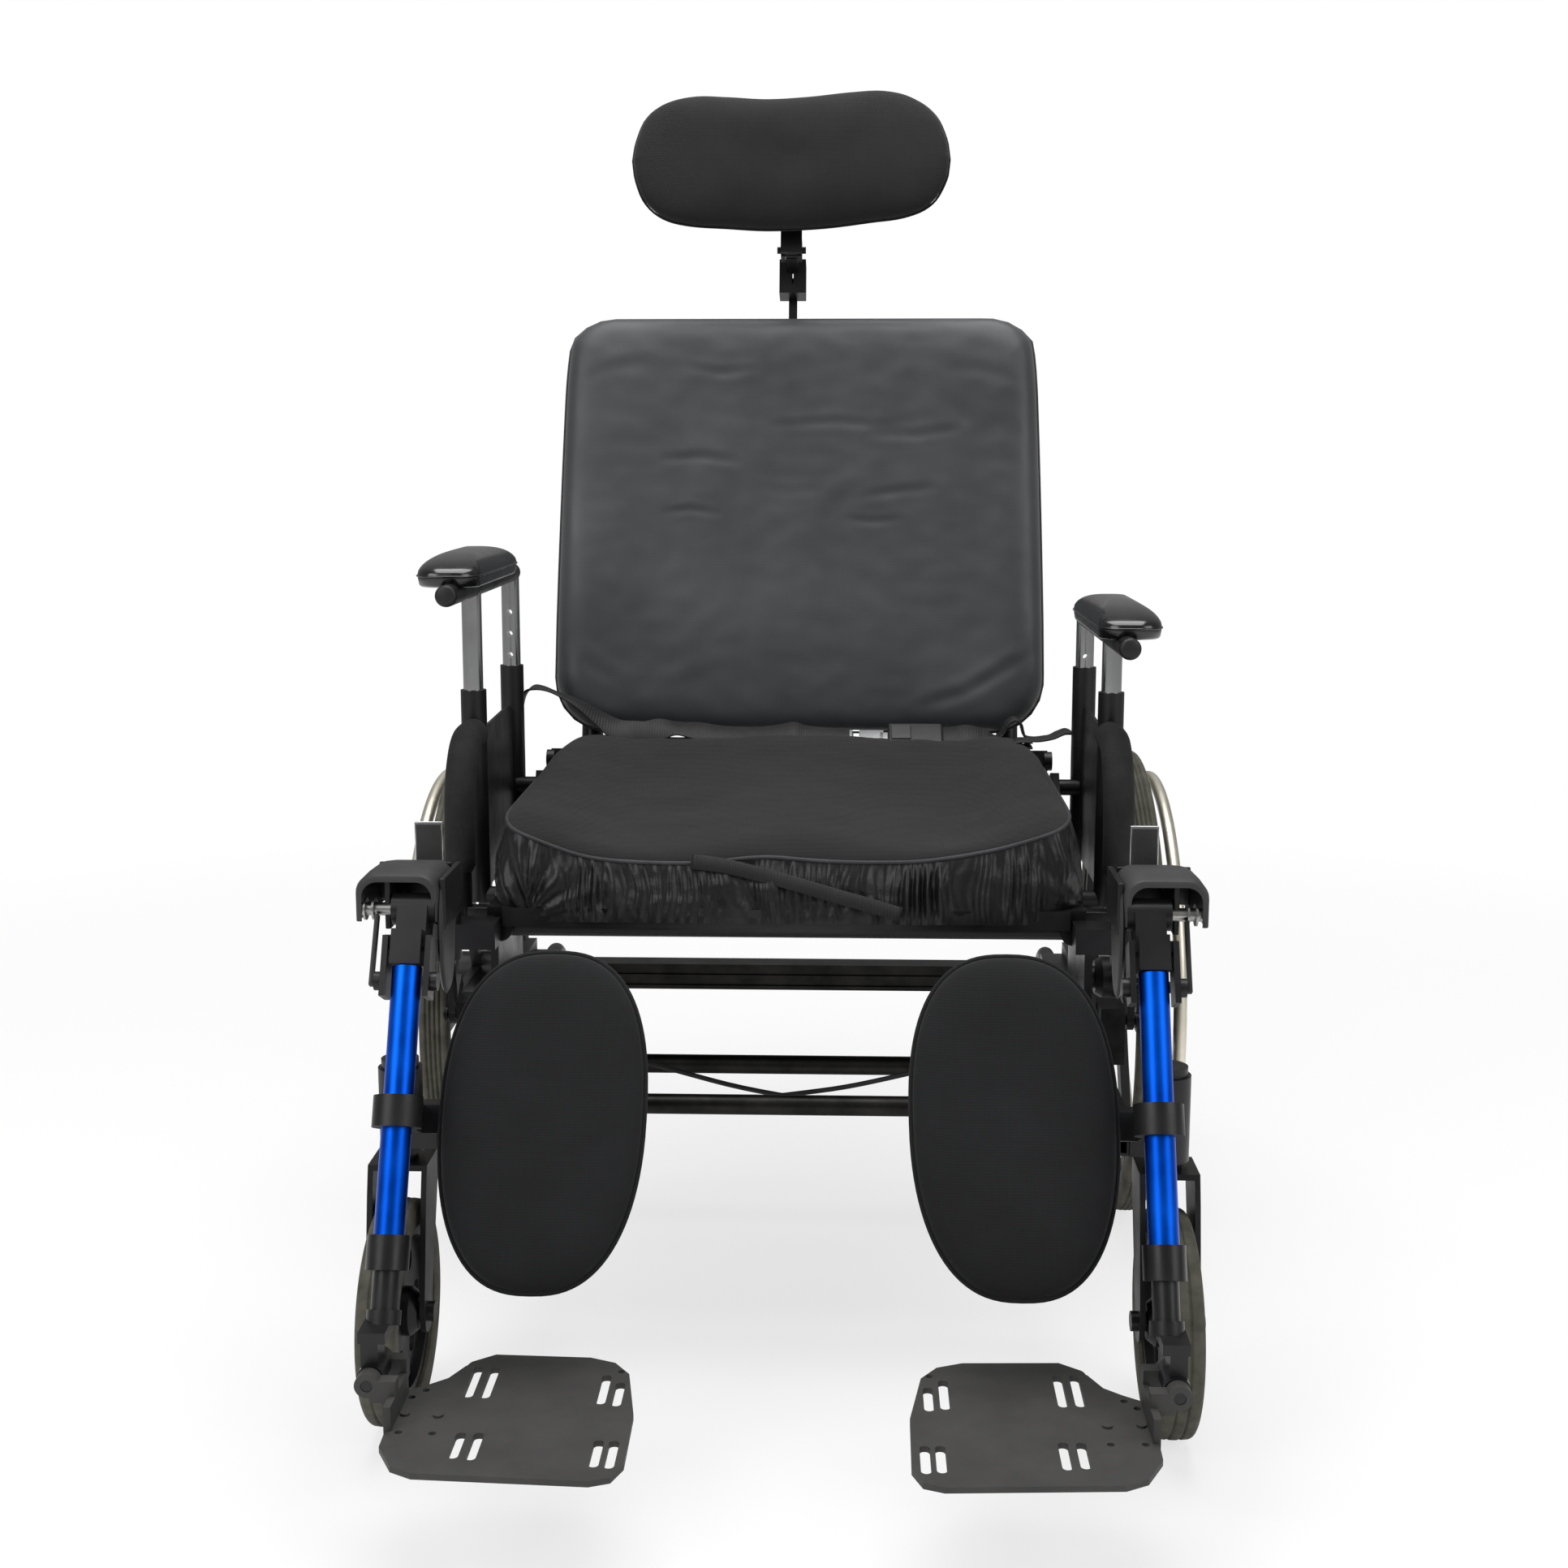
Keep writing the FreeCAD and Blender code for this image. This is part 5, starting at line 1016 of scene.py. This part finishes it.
def leg_down(place):
    """How far down a leg's tube a place is."""
    return -(place[1] - LEG_Y) * math.sin(LEG_LEAN) - (place[2] - LEG_Z) * math.cos(LEG_LEAN)


slots = {part["node"]: part["material_slot"] for part in frame["record"]["subparts"]}
for name in frame["nodes"]:
    if name.startswith(REPLACED):
        continue
    node = frame["nodes"][name]
    node.data.materials.clear()
    node.data.materials.append(FINISHES[slots[name]])
    node.data.polygons.foreach_set("use_smooth", [True] * len(node.data.polygons))
    node.data.set_sharp_from_angle(angle=math.radians(32))

for name, side in SIDES:
    bar = (0.74 if side < 0 else 0.692) - 0.0095
    second_finish(frame["nodes"][f"armrest_frame_{name}"], black_steel, lambda c: c[2] > bar)
    second_finish(frame["nodes"][f"leg_tube_{name}"], black_steel, lambda c: leg_down(c) > 0.2395)


# Camera, light and ground

scene = bpy.context.scene
lens = bpy.data.cameras.new("camera")
lens.lens, lens.sensor_width, lens.sensor_fit = 45.395, 36, "HORIZONTAL"
lens.shift_y = -0.0203
lens.clip_end = 60
camera = bpy.data.objects.new("camera", lens)
yaw, pitch = math.radians(1.9), math.radians(8.8)
ahead = Vector((-math.sin(yaw) * math.cos(pitch), math.cos(yaw) * math.cos(pitch), -math.sin(pitch)))


def aimed(place, ahead):
    return Matrix.Translation(place) @ ahead.to_track_quat("-Z", "Y").to_matrix().to_4x4()


camera.matrix_world = aimed((0.0589, -1.9865, 0.88), ahead)
scene.collection.objects.link(camera)
scene.camera = camera


def lamp(name, place, wide, tall, watts):
    """A softbox aimed at the chair's middle."""
    data = bpy.data.lights.new(name, "AREA")
    data.shape, data.size, data.size_y, data.energy = "RECTANGLE", wide, tall, watts
    made = bpy.data.objects.new(name, data)
    made.matrix_world = aimed(place, Vector((0, 0, 0.5)) - Vector(place))
    scene.collection.objects.link(made)
    return made


lamps = [lamp("softbox_left", (-2.3, -2.4, 2.5), 2.2, 2.2, 62), lamp("softbox_right", (2.5, -1.8, 2.0), 1.8, 2.2, 36),
         lamp("softbox_top", (0, 0.1, 3.0), 2.2, 2.2, 78)]

floor_mesh = bpy.data.meshes.new("floor")
floor_mesh.from_pydata([(-9, -9, 0), (9, -9, 0), (9, 9, 0), (-9, 9, 0)], [], [(0, 1, 2, 3)])
# Paper: part of its white is its own, to the camera only and all of it far off, so that it still takes a soft shadow
paper, tree, shader, place = finish("matte_paper_white", 0.9)
shader.inputs["Base Color"].default_value = linear("#f4f4f4")
glow = add(tree, "ShaderNodeEmission", {"Color": (1, 1, 1, 1), "Strength": 1.0})
rays = add(tree, "ShaderNodeLightPath")
far = add(tree, "ShaderNodeVectorMath", links={0: place}, operation="LENGTH")
fade = add(tree, "ShaderNodeMapRange", {"From Min": 0.7, "From Max": 2.6, "To Min": 0.7, "To Max": 1.0},
           {"Value": far.outputs["Value"]})
share = add(tree, "ShaderNodeMath", links={0: rays.outputs["Is Camera Ray"], 1: fade.outputs["Result"]},
            operation="MULTIPLY")
mixed = add(tree, "ShaderNodeMixShader", links={0: share.outputs["Value"], 1: shader.outputs["BSDF"],
                                                2: glow.outputs["Emission"]})
tree.links.new(mixed.outputs["Shader"], tree.nodes["Material Output"].inputs["Surface"])
floor_mesh.materials.append(paper)
floor = bpy.data.objects.new("floor", floor_mesh)
scene.collection.objects.link(floor)

world = bpy.data.worlds.new("studio")
world.use_nodes = True
scene.world = world
tree = world.node_tree
tree.nodes.clear()
light = add(tree, "ShaderNodeBackground", {"Color": (1, 1, 1, 1), "Strength": 0.26})
seen = add(tree, "ShaderNodeBackground", {"Color": (1, 1, 1, 1), "Strength": 1.0})
rays = add(tree, "ShaderNodeLightPath")
mixed = add(tree, "ShaderNodeMixShader", links={0: rays.outputs["Is Camera Ray"], 1: light.outputs["Background"],
                                                2: seen.outputs["Background"]})
add(tree, "ShaderNodeOutputWorld", links={"Surface": mixed.outputs["Shader"]})
scene.view_settings.view_transform = "Standard"
